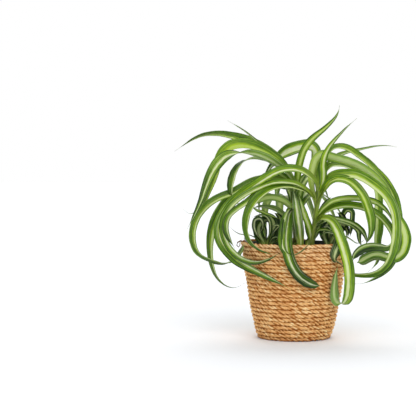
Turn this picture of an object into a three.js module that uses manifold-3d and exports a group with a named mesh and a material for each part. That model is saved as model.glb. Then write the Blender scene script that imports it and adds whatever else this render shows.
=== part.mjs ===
// A curly variegated spider plant in a tapered basket of twisted seagrass cord.
// Millimetres, +Z up, -Y is the front. The origin is the middle of the basket's flat base.

import * as THREE from "three";
import { mergeVertices } from "three/addons/utils/BufferGeometryUtils.js";
import Module from "manifold-3d";

const wasm = await Module();
wasm.setup();

// ---- Driving dimensions ----

// Basket: rows of cord stacked into a wall that widens upwards.
const BASKET_HEIGHT = 125;
const BASKET_BASE_RADIUS = 45.5;
const BASKET_TOP_RADIUS = 70;
const BASKET_BULGE = 0.64;
const BASKET_ROWS = 24;
const CORD_THICKNESS = 5.2;
const ROW_GROOVE = 2.2;
const BASE_CONTACT_RADIUS = 43;

// Sides of every round piece, so that nested pieces keep an even gap.
const ROUND_SIDES = 31;

// Gap between two pieces that touch.
const GAP = 0.3;

// Liner: plastic film that stands above the rim at the left.
const LINER_THICKNESS = 0.7;
const LINER_TOP = 121.5;
const LINER_FLAP_HEIGHT = 8;
const LINER_FLAP_SPREAD = 0.28;

// Nursery pot: thin plastic with a rolled lip and holes for drainage.
const POT_WALL = 1.2;
const POT_BASE_RADIUS = 41;
const POT_NECK_RADIUS = 57.5;
const POT_LIP_RADIUS = 61.5;
const POT_LIP_DEPTH = 10;
const POT_TOP = 122.5;
const DRAIN_HOLES = 5;
const DRAIN_HOLE_RADIUS = 4;
const DRAIN_RING_RADIUS = 27;

// Soil: fills the pot to a low, lumpy mound.
const SOIL_EDGE_HEIGHT = 106;
const SOIL_MOUND = 3;
const SOIL_LUMP = 0.8;

// Root crowns stand in plain holes in the soil.
const CROWN_DEPTH = 15;
const CROWN_RISE = 8;
const CROWN_SIDES = 10;

// Leaf blades.
const BLADE_THICKNESS = 0.8;
const TIP_WIDTH = 1.1;
const SHEATH_SHARE = 0.62;
const SHEATH_END = 0.3;
const BUNDLE_CORE = 0.4;
const HEADING_ROW = 4;
const STATION_LENGTH = 36;
const STATION_TURN = THREE.MathUtils.degToRad(48);
const PATH_SAMPLES = 400;

// Slivers smaller than this are closed where blades cross each other.
const JOIN_TOLERANCE = 0.02;

// The leaf tables give a leaf as it looks from the front, so depth doesn't change its outline there.
// These are the eye's distance from the basket's axis and its height.
const EYE_DISTANCE = 1850;
const EYE_HEIGHT = 252;

const LEFT = -1;
const RIGHT = 1;

// ---- The plant's leaves ----

// A leaf's path has a row [across, up, depth, tilt] for each point, in millimetres and degrees, from its
// root to its tip. Across and up are as seen from the front, depth is +Y. Tilt turns the upper face from
// the outer side of the leaf's arch, 0, towards the front, 90, or towards the back, -90.
// side is the way the leaf first arches. width is the widest place, taper is the share of the length where
// the leaf starts to narrow, and whip is the power of that narrowing: a high one gives a long thin tip.
// A blunt leaf also has the width of its tip.

const MIDDLE_CROWN_LEAVES = [
  // The long low arch whose tip is furthest left.
  { side: LEFT, width: 13, taper: 0.6, whip: 0.8, path: [
    [-1, 197, 12, 0], [-6, 212, 13, 10], [-13, 224, 15, 25], [-24, 235, 18, 40], [-37, 244, 23, 50],
    [-52, 252, 29, 55], [-68, 258, 35, 60], [-84, 262, 41, 60], [-100, 264, 47, 55], [-116, 262.8, 53, 50],
    [-130, 257.8, 58, 45], [-143, 249.8, 63, 40], [-156, 241, 68, 40]] },
  // The thin straight tip above it.
  { side: LEFT, width: 9, taper: 0.5, whip: 0.85, path: [
    [0, 198, 10, 0], [-6, 213, 8, 15], [-14, 225.5, 7, 30], [-23, 232.5, 8, 45], [-32, 239.5, 11, 50],
    [-41, 247, 15, 50], [-51, 256, 20, 45], [-63, 266, 27, 40], [-76, 274.5, 35, 40], [-87, 281, 42, 40]] },
  // The wide arch that turns down behind its neighbour and ends in a small curl.
  { side: LEFT, width: 16, taper: 0.55, whip: 1.3, path: [
    [-0.5, 197, 9, 0], [-8, 214, 2, 10], [-18, 228, -3, 25], [-30, 237.5, -8, 35], [-43, 244.5, -12, 45],
    [-57, 249.5, -16, 50], [-70, 251, -19, 55], [-82, 248.5, -22, 60], [-91, 241.5, -24, 60],
    [-97, 232, -26, 60], [-100, 221.5, -27, 60], [-103, 210, -28, 60], [-107, 198, -29, 60],
    [-111.5, 187, -29, 60], [-115.5, 177, -29, 55], [-121, 168, -28, 50], [-128.5, 162, -27, 50],
    [-137, 160.5, -26, 45], [-145, 166.5, -25, 40]] },
  // The widest arch at the left, with a bright stripe down to its tip.
  { side: LEFT, width: 15, taper: 0.6, whip: 0.8, path: [
    [0, 199, 7, 0], [-10, 214, -4, -30], [-22, 223.5, -13, -40], [-36, 232, -21, -45], [-50, 237.5, -28, -40],
    [-64, 239.8, -34, -20], [-77, 239, -38, 20], [-88, 235.5, -42, 60], [-96, 229.5, -45, 75],
    [-103, 221, -47, 80], [-108.5, 211.5, -49, 80], [-113, 201, -51, 80], [-117, 190, -53, 80],
    [-120.5, 179, -55, 75], [-125, 168.5, -57, 70], [-130, 158, -58, 65], [-135, 148.5, -59, 60],
    [-139.5, 140, -60, 60]] },
  // The dark arch inside them, which hooks back under the lower leaves.
  { side: LEFT, width: 11, taper: 0.6, whip: 1, path: [
    [0, 197, 10, 0], [-10, 212, 6, 0], [-24, 223, 2, -10], [-40, 230, -2, -20], [-54, 232, -7, -20],
    [-65, 229, -12, 10], [-73, 222.5, -18, 35], [-78.5, 214, -23, 55], [-81.5, 205, -28, 60],
    [-83.2, 196, -31, 60], [-83, 188, -30, 45], [-80.5, 181, -25, 25], [-77, 175.5, -18, 10],
    [-72.5, 173.5, -13, 0], [-67.5, 177, -10, 0], [-63, 183, -8, 0], [-59, 189, -7, 0]] },
  // The low arch that loops round under the left side and ends at the rim.
  { side: LEFT, width: 11, taper: 0.85, whip: 0.5, tip: 4, path: [
    [-1, 196, 8, 0], [-9, 201, 2, 10], [-20, 204, -5, 30], [-34, 205, -11, 45], [-48, 203.5, -16, 50],
    [-61, 199, -20, 55], [-72, 193, -23, 60], [-83, 187, -25, 60], [-94, 183, -28, 60], [-104, 178, -32, 60],
    [-113, 171.5, -35, 60], [-120.5, 163.5, -36, 60], [-126.5, 154.5, -36, 60], [-130.5, 144, -34, 60],
    [-132.2, 133, -31, 60], [-131.3, 122, -28, 55], [-127.5, 112.5, -26, 45], [-121, 105.5, -25, 30],
    [-112, 101, -24, 30], [-102, 97.5, -23, 30], [-93, 95.5, -20, 20], [-85, 97, -17, 0],
    [-78, 101.5, -17, -30], [-72.5, 108, -22, -50], [-68, 115, -29, -60], [-65, 120.5, -34, -60]] },
  // The long leaf that hangs lowest at the left, with a thin tip that reaches the basket.
  { side: LEFT, width: 13, taper: 0.55, whip: 1.3, path: [
    [-2, 197, 4, 0], [-12, 203, -1, 20], [-26, 206, -4, 35], [-41, 205.5, -6, 45], [-55, 201.5, -7, 50],
    [-68, 194, -6, 60], [-79, 185, -4, 65], [-89, 175, -1, 70], [-97, 163.5, 2, 75], [-103, 151.5, 5, 80],
    [-107.2, 139, 7, 80], [-109.3, 126.5, 8, 80], [-109.8, 114, 9, 80], [-108.8, 101.5, 10, 80],
    [-106.3, 90, 12, 75], [-102, 79.5, 14, 60], [-95, 71, 16, 50], [-86.5, 65.5, 18, 40], [-78, 64, 20, 30],
    [-69.5, 67, 22, 30], [-63, 71, 24, 30]] },
  // The twisted leaf that stands highest.
  { side: RIGHT, width: 10, taper: 0.6, whip: 1, path: [
    [2, 192, 10, 20], [3.8, 206, 6, 60], [5, 218, 3, 75], [7.5, 230, 1, 80], [11.5, 242, -1, 80],
    [18, 252.5, -3, 80], [27, 261.5, -5, 80], [37, 269.5, -6, 80], [46, 278, -7, 80], [52.5, 285.5, -7, 75],
    [56, 292.5, -7, 70], [57.5, 300.5, -7, 60]] },
  // Short pale leaves that fill the crown behind the loops.
  { side: LEFT, width: 13, taper: 0.6, whip: 0.8, path: [
    [-3.5, 191, 13, 20], [-7, 199, 17, 45], [-12, 206, 20, 60], [-18.5, 211.5, 22, 70],
    [-26, 215.5, 23, 70], [-33, 217.5, 24, 60]] },
  { side: RIGHT, width: 12, taper: 0.6, whip: 0.8, path: [
    [1.5, 191, 13, 10], [4.5, 198, 16, 40], [8, 204, 18, 60], [12, 209.5, 20, 70], [17, 214, 21, 70]] },
  { side: LEFT, width: 12, taper: 0.6, whip: 0.8, path: [
    [-5, 190, 14, 20], [-11, 194.5, 18, 50], [-18, 196.5, 21, 65], [-25, 196.5, 23, 70],
    [-32, 195, 24, 60]] },
];

const RIGHT_CROWN_LEAVES = [
  // The great loop in front, which comes down over the left of the rim.
  { side: LEFT, width: 13, taper: 0.6, whip: 0.9, path: [
    [27, 170, -10, 0], [23, 182, -16, 15], [15, 190.5, -24, 30], [5, 195.5, -31, 45], [-6, 198, -37, 50],
    [-17, 198, -42, 50], [-28, 195.5, -47, 50], [-38.5, 190, -51, 50], [-48, 182, -55, 50],
    [-56, 171.5, -58, 50], [-61.5, 159.5, -61, 50], [-63.5, 147, -63, 50], [-62.5, 135, -64, 50],
    [-58, 124.5, -65, 45], [-50.5, 116.8, -66, 40], [-41, 111.5, -68, 40], [-31, 108.6, -70, 40],
    [-21, 107.5, -73, 40]] },
  // The larger loop above it, which comes back to lie along the basket.
  { side: LEFT, width: 13, taper: 0.75, whip: 0.8, path: [
    [29, 172, -9, 0], [31.5, 186, -13, 10], [28, 199, -19, 20], [20, 209, -25, 35], [9.5, 216, -31, 45],
    [-2, 218.8, -36, 50], [-14, 218, -39, 50], [-26, 213.8, -41, 50], [-38, 207, -42, 50],
    [-50, 199, -42, 50], [-61, 191.5, -40, 50], [-72, 183.5, -37, 55], [-82, 174, -34, 60],
    [-90, 163, -31, 65], [-95.8, 151.5, -28, 70], [-98.5, 139.5, -27, 75], [-97, 127.5, -27, 75],
    [-91.5, 117, -28, 75], [-84, 108, -30, 75], [-75.5, 100.3, -34, 75], [-66, 93.8, -41, 75],
    [-55.5, 88, -50, 75], [-44.5, 82.5, -58, 75], [-33.5, 77, -63.5, 75], [-22.5, 71.7, -66.5, 75],
    [-12.5, 66.6, -68, 75], [-3.5, 62, -68.5, 75]] },
  // The narrow loop beside it, whose striped end crosses the basket.
  { side: LEFT, width: 9, taper: 0.8, whip: 0.8, path: [
    [26.5, 169, -11, 0], [21.5, 184, -18, 15], [12, 194, -27, 30], [1, 199.8, -34, 45], [-11, 202, -39, 50],
    [-23, 201.8, -43, 50], [-35, 199, -46, 50], [-47, 194, -48, 50], [-58, 188.5, -48, 50],
    [-69, 181.8, -47, 50], [-79, 173.5, -45, 55], [-87, 163.5, -43, 60], [-92, 152.5, -41, 65],
    [-93.3, 141, -40, 70], [-91.3, 130, -40, 70], [-87, 119.8, -41, 70], [-80.5, 111, -42, 70],
    [-72.5, 104, -44, 65], [-63, 99.3, -48, 60], [-52.5, 97.2, -54.5, 55], [-42, 98.3, -61, 50],
    [-32.5, 101.7, -66.5, 50], [-24, 106.5, -70.5, 50], [-16.5, 111.5, -73, 50]] },
  // The pale loop inside it.
  { side: LEFT, width: 10, taper: 0.85, whip: 0.6, path: [
    [27.5, 168, -9, 0], [24, 181, -14, 15], [17, 190, -20, 25], [7, 196, -28, 35], [-5, 199.5, -33, 45],
    [-17, 200, -38, 45], [-28.5, 198, -42, 45], [-39, 193.5, -46, 45], [-48, 187.5, -49, 45],
    [-56, 180.5, -51, 45], [-63.5, 174.3, -52, 45], [-71.5, 168.8, -52, 45], [-79.5, 163, -51, 50],
    [-86, 156, -50, 55], [-89, 147.5, -50, 60], [-88.8, 138.5, -50, 60], [-86, 130, -50, 60],
    [-81.5, 122, -51, 60], [-77, 114.5, -52, 60]] },
  // The broad leaf behind that folds over the middle crown to the left.
  { side: LEFT, width: 17, taper: 0.65, whip: 1, path: [
    [29, 190, -2, 20], [26.5, 205, 6, 40], [25, 219, 12, 50], [26.5, 232, 16, 50], [26, 243, 19, 50],
    [19, 248.5, 21, 60], [9, 247.5, 23, 70], [-1, 245, 25, 75], [-10.5, 241, 26, 75], [-18.5, 235.5, 26, 70],
    [-26, 227.5, 25, 60], [-33, 218.5, 22, 50], [-38, 209, 18, 45], [-41, 200, 14, 40]] },
  // The upright leaf with a thin straight tip.
  { side: RIGHT, width: 11, taper: 0.55, whip: 0.9, path: [
    [28.5, 172, -12, 0], [32, 186, -15, 30], [36, 199, -17, 50], [37.5, 212, -18, 55], [37, 224, -18, 55],
    [39, 235, -18, 55], [44, 245.5, -18, 50], [51, 255, -18, 50], [59, 264, -17, 50], [68, 273.3, -16, 50],
    [80, 284, -15, 50]] },
  // The highest arch to the right, which drops behind that side and trails off low in a thin tip.
  { side: RIGHT, width: 12, taper: 0.78, whip: 1.2, path: [
    [30, 172, -8, 0], [35, 186, -5, 20], [39, 199, -1, 30], [40, 212, 3, 30], [39.5, 224, 7, 25],
    [42, 235.5, 10, 20], [48.5, 244.5, 13, 30], [58, 247.3, 17, 40], [68, 245.3, 20, 45],
    [77.5, 239.3, 23, 45], [87, 232.5, 26, 45], [96, 225, 29, 45], [104, 217, 32, 45],
    [112, 209, 35, 45], [119, 200.5, 37, 45], [125, 191, 38, 45], [129.5, 181, 38, 45],
    [132.5, 170, 38, 45], [134, 158, 37, 50], [134, 146, 36, 50], [133.5, 134, 34, 55],
    [132.5, 122, 32, 60], [130, 110, 29, 60], [126, 99, 26, 60], [120.5, 90, 23, 60],
    [113, 83, 20, 60], [104.5, 77.7, 17, 60], [95.5, 73, 14, 60], [86.5, 70.2, 11, 60],
    [77.5, 69.8, 8, 60]] },
  // The thin tip that reaches out level behind it.
  { side: RIGHT, width: 11, taper: 0.45, whip: 1.3, path: [
    [30, 171, -4, 0], [33, 188, 5, 0], [36, 204, 14, 10], [40, 217, 21, 20], [46.5, 228, 28, 30],
    [55.5, 235.3, 34, 35], [66, 239.5, 40, 40], [78, 242.3, 46, 40], [90.5, 245, 52, 40],
    [103, 247.6, 58, 40], [115, 248.5, 63, 40], [124, 248, 66, 40], [131, 246.5, 69, 40]] },
  // The arch that shows its pale underside, then makes the furthest loop at the right.
  { side: RIGHT, width: 14, taper: 0.95, whip: 0.6, tip: 7, path: [
    [29, 172, -8, 0], [25, 189, -6, -30], [22.5, 205, -4, -60], [24, 219, -1, -75], [28.5, 231.5, 1, -70],
    [36, 236.5, 2, -65], [46, 233.5, 3, -65], [57, 230.5, 4, -65], [68, 227.3, 4, -65], [79, 223, 3, -65],
    [89.5, 217.3, 1, -60], [99, 210.3, -1, -55], [107.5, 202.5, -4, -50], [115.5, 194, -7, -40],
    [122, 184.5, -10, -20], [127, 174, -13, 10], [130.5, 164, -16, 30], [134, 154.5, -18, 40],
    [138.5, 146, -20, 55], [142, 137, -21, 65], [143.5, 127.5, -21, 70], [142, 118, -21, 70],
    [138.5, 110, -21, 65], [133, 105, -22, 60], [126, 103.5, -25, 60], [117, 105.5, -29, 60],
    [108, 107.8, -33, 70], [99, 106.5, -37, 75], [91, 102.5, -40, 80], [85, 99, -42, 80],
    [80.5, 97.3, -43, 75]] },
  // The arch under it that drops behind the right side.
  { side: RIGHT, width: 12, taper: 0.75, whip: 0.9, path: [
    [29.5, 171, -8, 0], [34, 187, -4, 0], [37, 202, 1, 10], [40, 214, 6, 20], [46.5, 222, 10, 30],
    [57, 224, 14, 35], [68, 222, 17, 35], [79, 218, 20, 35], [89.5, 212.3, 23, 40], [98.5, 204.5, 25, 45],
    [104.8, 195, 27, 50], [107.8, 184, 28, 60], [108, 172.5, 28, 70], [107.8, 161, 27, 70],
    [108.8, 150, 25, 75], [108.3, 139, 22, 75], [107, 128, 18, 70], [107.3, 117, 14, 70],
    [108, 107, 10, 65], [106, 98, 7, 60], [100.8, 90.8, 5, 60], [94.5, 85, 4, 60]] },
  // The bright wide loop round the right side.
  { side: RIGHT, width: 14, taper: 0.7, whip: 0.5, tip: 6, path: [
    [30, 172, -13, 0], [35.5, 186, -16, 15], [40, 198, -19, 30], [46, 207.5, -22, 40], [55, 211.5, -25, 50],
    [66, 212.3, -29, 55], [77, 211.8, -33, 60], [88, 207.8, -37, 60], [98, 201.5, -41, 60],
    [107.5, 194.5, -45, 60], [116, 186.5, -49, 60], [123, 176.8, -53, 60], [127.8, 165.5, -56, 60],
    [130.3, 153.5, -58, 60], [131, 141, -59, 60], [130.3, 128.5, -59, 60], [128, 116, -58, 60],
    [124.2, 104, -56, 60], [118.5, 94, -53, 60], [110.5, 86.5, -49, 60], [100.5, 82.3, -44, 60],
    [89.5, 81, -38, 60], [79, 81.5, -33, 60], [71, 83.5, -29, 60]] },
  // The inner arch in front, which drops to the rolled ends.
  { side: RIGHT, width: 13, taper: 0.75, whip: 1, path: [
    [30.5, 170, -14, 0], [34, 182, -18, 20], [38.5, 193, -22, 35], [45, 201.5, -26, 45],
    [54, 205.8, -31, 50], [64, 205, -35, 55], [73, 200.8, -39, 60], [81, 193.5, -43, 65],
    [87.5, 184.5, -46, 70], [92.5, 174.3, -48, 70], [96.3, 163.5, -49, 70], [98.6, 152.5, -49, 70],
    [99, 141.5, -47, 70], [97, 131.5, -43, 60], [92.8, 123.5, -37, 40], [87.5, 117.5, -31, 20]] },
  // Two arches side by side, low at the right. The lower one rolls back under.
  { side: RIGHT, width: 10, taper: 0.75, whip: 1, path: [
    [27, 152, -16, 0], [32, 161, -18, 20], [39, 169.3, -20, 35], [48, 175.8, -21, 45], [59, 179.3, -21, 50],
    [71, 180.5, -20, 50], [83, 180, -18, 50], [94, 178.5, -16, 50], [104, 175.3, -13, 50],
    [112.5, 170, -9, 50], [119.5, 163, -5, 50], [124, 155, -1, 45], [126.5, 147, 3, 40]] },
  { side: RIGHT, width: 12, taper: 0.9, whip: 0.5, tip: 5, path: [
    [26.5, 146, -15, 0], [31, 154.5, -17, 20], [38, 162, -19, 35], [47.5, 167.8, -20, 45],
    [58.5, 171, -21, 50], [70, 171.8, -22, 50], [81.5, 170.3, -22, 50], [92.5, 167.3, -22, 50],
    [102.5, 162.5, -22, 50], [111.5, 156, -22, 50], [119, 148, -22, 50], [124.5, 139, -23, 50],
    [127, 129.5, -26, 45], [125, 121, -31, 40], [118.5, 117, -37, 45], [110, 118, -43, 55],
    [100.5, 118.5, -48, 65], [91.5, 117, -51, 70], [83.5, 112.5, -53, 75], [78, 106.5, -53, 75],
    [75.5, 100.5, -52, 70]] },
  // The short leaves under those arches.
  { side: RIGHT, width: 9, taper: 0.8, whip: 1, path: [
    [26, 141, -12, 0], [31, 150, -12, 10], [40, 155, -11, 20], [51, 154.8, -10, 30], [62, 152.3, -9, 40],
    [72.5, 149, -8, 45], [81.5, 143.5, -7, 50], [88.5, 136, -7, 50], [92.5, 127, -8, 50],
    [93.3, 118, -10, 45]] },
  { side: RIGHT, width: 9, taper: 0.7, whip: 0.8, path: [
    [26, 138, -6, 0], [33, 147, -2, 10], [43, 151.5, 2, 20], [55, 151, 5, 30], [66.5, 148, 8, 35],
    [76.5, 144, 10, 50], [82, 138, 11, 60], [83, 130, 11, 70], [84.5, 123, 10, 70],
    [88.5, 117, 9, 60]] },
  { side: RIGHT, width: 6, taper: 0.6, whip: 1, path: [
    [26, 132, -13, 0], [31, 138.5, -16, 20], [39, 140, -19, 40], [47, 138, -22, 50], [53, 133, -24, 50]] },
  // The front leaf at the right, which hangs low, folds under and points up again.
  { side: RIGHT, width: 14, taper: 0.78, whip: 1, path: [
    [27, 147, -15, 0], [32.5, 153.5, -22, 20], [40.5, 154.3, -31, 40], [48.5, 149.8, -40, 55],
    [54, 141, -48, 70], [58.5, 130.5, -53, 75], [62.5, 119.5, -56, 80], [66, 108, -57, 80],
    [69, 96.5, -57, 80], [70.7, 84.5, -56, 80], [71.2, 72.5, -54, 80], [70.5, 61, -53, 80],
    [68.5, 51, -50, 70], [65, 45, -47, 40], [60.5, 43.5, -43.5, 0], [56, 46, -42.5, -40],
    [53, 52, -44, -70], [52, 60.5, -46, -80], [52.3, 70, -48, -80], [53.3, 79.5, -50, -80],
    [55, 89, -52, -75], [56.7, 96, -54, -70]] },
  // The short upright leaf between this crown and the front one.
  { side: LEFT, width: 9, taper: 0.6, whip: 1, path: [
    [21, 128, -13, 60], [18, 145, -16, 70], [13, 158, -18, 75], [9.5, 170, -19, 75], [6.5, 181, -17, 70],
    [4, 191, -13, 60]] },
  // A shorter one beside it, and one behind that leans to the right.
  { side: LEFT, width: 10, taper: 0.6, whip: 0.8, path: [
    [20.5, 128, -9, 60], [18.5, 138, -9, 70], [16.5, 148, -8, 75], [12.5, 157, -8, 75], [7.5, 163, -8, 70]] },
  { side: RIGHT, width: 11, taper: 0.6, whip: 0.8, path: [
    [25, 128, -1, 40], [29, 140, 3, 60], [32.5, 152, 6, 70], [35, 164, 8, 70], [40, 175, 9, 65],
    [48, 183, 9, 60]] },
];

const FRONT_CROWN_LEAVES = [
  // The upright leaf in front, with a wide white stripe.
  { side: RIGHT, width: 12, taper: 0.55, whip: 0.8, path: [
    [8, 126, -27.5, 80], [7, 133, -28, 85], [6.2, 141, -29, 90], [4.9, 150, -29.5, 90], [3.5, 160, -29.5, 90],
    [2, 170, -28.5, 90], [0.4, 180, -26, 85], [-1.3, 187.5, -22.5, 70], [-3.5, 195, -19, 50]] },
  // The leaf that hangs over the front of the rim and lies round the basket.
  { side: LEFT, width: 14, taper: 0.9, whip: 0.5, tip: 8, path: [
    [7, 128, -23, -60], [5.5, 138, -20, -75], [3, 149, -18, -75], [0.5, 158.5, -18.5, -60],
    [-2.5, 164.5, -22, -20], [-5.8, 162, -29, 25], [-8, 154, -37.5, 55], [-9.5, 144, -49, 75],
    [-10.3, 133.5, -62, 85], [-10.3, 123.5, -72.5, 90], [-9, 113, -76.5, 90], [-6.3, 102, -75, 90],
    [-1.8, 91.5, -73, 90], [4.5, 82, -71, 90], [13, 74.3, -68, 90], [23, 69, -65, 90],
    [33, 66.5, -61.5, 85]] },
  // Its narrow neighbour, whose tip curls up again in front of the rim.
  { side: LEFT, width: 10, taper: 0.55, whip: 1, path: [
    [6, 127, -19, -60], [4, 139, -16, -75], [1, 151, -14.5, -70], [-2, 161, -16, -50],
    [-5.8, 166, -21, -10], [-9.5, 162.5, -28, 30], [-12.5, 154, -36, 55], [-14.8, 144.5, -47, 75],
    [-16.2, 134.5, -60, 80], [-16.4, 125.5, -71.5, 80], [-15, 116.5, -77, 75], [-11, 109.5, -76.5, 50],
    [-4.5, 106.5, -75.5, 20], [2.5, 108.3, -75, 20], [9.5, 112.6, -75, 30], [15.5, 118, -74, 30],
    [20.5, 123.3, -72, 30], [25, 128.5, -68, 30]] },
  // The pale leaf that goes left and hooks back.
  { side: LEFT, width: 9, taper: 0.75, whip: 1, path: [
    [4, 130, -16, 0], [3, 142, -12, -10], [1, 155, -11, -30], [-4, 167, -14, -50], [-12, 175.5, -19, -75],
    [-22.5, 180.5, -25, -80], [-33.5, 181.5, -30, -80], [-43.5, 178.5, -35, -60], [-51, 174, -39, -20],
    [-53.5, 169.5, -40, 0], [-49.5, 166, -40, 20], [-42, 163.3, -38, 40], [-33, 159.5, -35, 50],
    [-24, 155.5, -31, 50], [-15.5, 152.5, -27, 50]] },
  // The dark broad leaf under it.
  { side: LEFT, width: 13, taper: 0.6, whip: 1, path: [
    [3, 128, -12, 0], [0, 138, -8, 0], [-6, 149, -5, -10], [-15, 159.5, -6, -30], [-26, 166.5, -9, -40],
    [-37, 169.5, -13, -40], [-47, 169.5, -17, -40], [-55, 167, -21, -40]] },
];

const LEFT_OFFSET_LEAVES = [
  { side: LEFT, width: 8, taper: 0.6, whip: 1, path: [
    [-35, 124, -15, 0], [-33, 131, -16, 20], [-31.5, 139, -17, 40], [-31.7, 148, -18, 40],
    [-35, 155, -19, 40], [-41, 158.5, -20, 40], [-48.5, 157.5, -22, 40], [-55, 155.5, -24, 40]] },
  { side: RIGHT, width: 8, taper: 0.7, whip: 1, path: [
    [-40, 122, -16, 0], [-45, 128, -20, 20], [-50, 136, -24, 40], [-52.5, 145, -27, 40],
    [-50.5, 152.5, -28, 40], [-44.5, 153.5, -27, 40], [-41, 147.5, -25, 40], [-42.5, 139.5, -23, 40],
    [-46.5, 133.5, -21, 40]] },
  { side: LEFT, width: 8, taper: 0.6, whip: 1, path: [
    [-38, 124, -7, 0], [-37.5, 132, -5, 20], [-39.5, 142, -4, 40], [-45, 149, -5, 40], [-52, 148, -8, 40],
    [-56, 141, -11, 40]] },
  { side: RIGHT, width: 8, taper: 0.6, whip: 1, path: [
    [-34, 122, -8, 0], [-30, 130, -5, 0], [-25, 139, -4, 20], [-18.5, 144.5, -6, 30], [-13, 141, -9, 30],
    [-11, 134, -11, 30]] },
  { side: RIGHT, width: 7, taper: 0.6, whip: 1, path: [
    [-33.5, 122, -14, 0], [-31, 126, -16, 10], [-28, 129, -18, 20], [-23, 130, -23, 30],
    [-18, 126.5, -27, 30]] },
  // Broad leaves that make the offset a dense tangle.
  { side: LEFT, width: 13, taper: 0.7, whip: 0.7, path: [
    [-41, 122, -10, 60], [-46, 131, -11, 75], [-47.5, 141, -12, 80], [-44, 149, -13, 80],
    [-37, 152.5, -13, 70], [-31, 149, -12, 60]] },
  { side: RIGHT, width: 12, taper: 0.7, whip: 0.7, path: [
    [-33, 122, -1, 60], [-28, 131, 2, 75], [-25.5, 141, 4, 80], [-27, 151, 5, 80], [-33, 158, 5, 70],
    [-41, 159, 4, 60]] },
  { side: RIGHT, width: 11, taper: 0.7, whip: 0.7, path: [
    [-31, 121, 1, 60], [-23, 127, 4, 70], [-18, 137, 7, 80], [-17, 148, 8, 80], [-20, 157, 9, 70],
    [-27, 162, 9, 60]] },
  { side: LEFT, width: 6, taper: 0.6, whip: 1, path: [
    [-30, 121, -18, 0], [-24, 126, -21, 20], [-19, 132, -23, 40], [-17.5, 139, -24, 50],
    [-21, 145, -25, 50], [-27, 144.5, -26, 50], [-29.5, 138, -27, 50]] },
  // The leaf whose tip points up outside the rim.
  { side: LEFT, width: 6, taper: 0.4, whip: 1, path: [
    [-41, 121, -4, 0], [-50, 128.5, 2, 0], [-60, 133, 7, 0], [-69.5, 133.3, 10, 20], [-77, 136.8, 12, 20],
    [-84.5, 144, 14, 20]] },
];

const RIGHT_OFFSET_LEAVES = [
  { side: RIGHT, width: 9, taper: 0.75, whip: 0.8, path: [
    [46, 124, 2, 0], [51, 134, 9, 10], [56, 146, 16, 30], [61.5, 157.5, 20, 50], [67.5, 165.5, 21, 50],
    [73.5, 163, 21, 50], [74, 154, 20, 50], [73, 145, 19, 50], [72, 136.5, 18, 50],
    [71.5, 130.5, 17, 50]] },
  // The thin tip that trails over the rim.
  { side: RIGHT, width: 5, taper: 0.3, whip: 1, path: [
    [49, 121, -5, 0], [57, 127, -8, 20], [66, 130.5, -11, 30], [73.5, 126.5, -13, 30], [80, 122.5, -14, 30],
    [86, 124, -15, 30], [91, 127.5, -16, 30]] },
  // The small hook.
  { side: LEFT, width: 5, taper: 0.8, whip: 1, path: [
    [48, 122, -12, 0], [52.5, 127.5, -16, 10], [52.5, 132.5, -19, 20], [47, 135.5, -22, 20],
    [40.5, 136, -24, 20], [36, 132.8, -25, 20], [35.5, 127, -26, 20]] },
  { side: LEFT, width: 6, taper: 0.7, whip: 1, path: [
    [45, 123, -8, 0], [47, 132, -9, 10], [46.5, 140.5, -10, 20], [40, 144.5, -12, 20],
    [34.5, 141, -13, 20]] },
  // Broad dark leaves behind them.
  { side: RIGHT, width: 12, taper: 0.7, whip: 0.7, path: [
    [47, 122, -1, 50], [53, 131, 5, 70], [58.5, 140, 12, 80], [62, 149.5, 17, 80], [61, 158, 18, 80],
    [54, 162.5, 18, 70]] },
  { side: LEFT, width: 11, taper: 0.7, whip: 0.7, path: [
    [42, 122, -3, 50], [38.5, 131, 2, 70], [39, 141, 9, 80], [44.5, 149, 14, 80], [52.5, 152, 16, 75]] },
  { side: RIGHT, width: 11, taper: 0.7, whip: 0.8, path: [
    [45, 121, 3, 30], [44, 131, 8, 60], [47, 141, 12, 75], [55, 147.5, 14, 75], [63, 146, 14, 75],
    [68, 138.5, 13, 70], [69, 129, 12, 60]] },
  { side: LEFT, width: 10, taper: 0.7, whip: 0.8, path: [
    [42, 121, 4, 30], [37, 131, 10, 60], [35, 142, 15, 75], [38, 152, 18, 75], [45, 157.5, 19, 70],
    [53, 155, 19, 60]] },
  // The leaf that comes over the rim in the right front and doubles back.
  { side: LEFT, width: 13, taper: 0.6, whip: 1, path: [
    [49, 122, -9, 0], [54, 131, -18, 20], [57.5, 134, -31, 40], [58.5, 130, -44, 60], [56.5, 120, -51.5, 75],
    [53.5, 112, -54, 75], [51.5, 105, -55, 55], [52.5, 99.8, -54.5, 30], [56.5, 98, -52, 20],
    [61.5, 94, -48, 30], [65.5, 87, -44.5, 30]] },
];

// The back crown's leaves are alike within a tier, apart from a seeded draw. Each is drawn to the right in
// an upright plane, then turned about the crown to its own bearing, in degrees from +X.
const BACK_SEED = 7;
const BACK_LENGTH_SPREAD = 0.16;
const BACK_LEAN = 24;
const BACK_TIERS = [
  // Long leaves that hang down behind the basket.
  { bearings: [40, 61, 79, 95, 112, 129, 147], width: 11, path: [
    [2, 140, 0, 0], [7, 158, 0, 0], [17, 176, 1, 5], [32, 187, 2, 10], [50, 189, 2, 15], [67, 182, 1, 20],
    [81, 168, -2, 25], [90, 150, -6, 30], [94, 130, -8, 30], [91, 111, -6, 20], [82, 97, 0, 10],
    [71, 93, 5, 0]] },
  // Shorter leaves that stand higher over the crown.
  { bearings: [52, 86, 118, 150], width: 12, path: [
    [1, 140, 0, 0], [3, 160, 0, 0], [8, 180, 1, 5], [17, 197, 2, 10], [31, 207, 2, 15], [46, 205, 1, 20],
    [58, 195, -2, 25], [66, 180, -5, 30], [69, 163, -6, 30], [66, 149, -4, 30]] },
];

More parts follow.
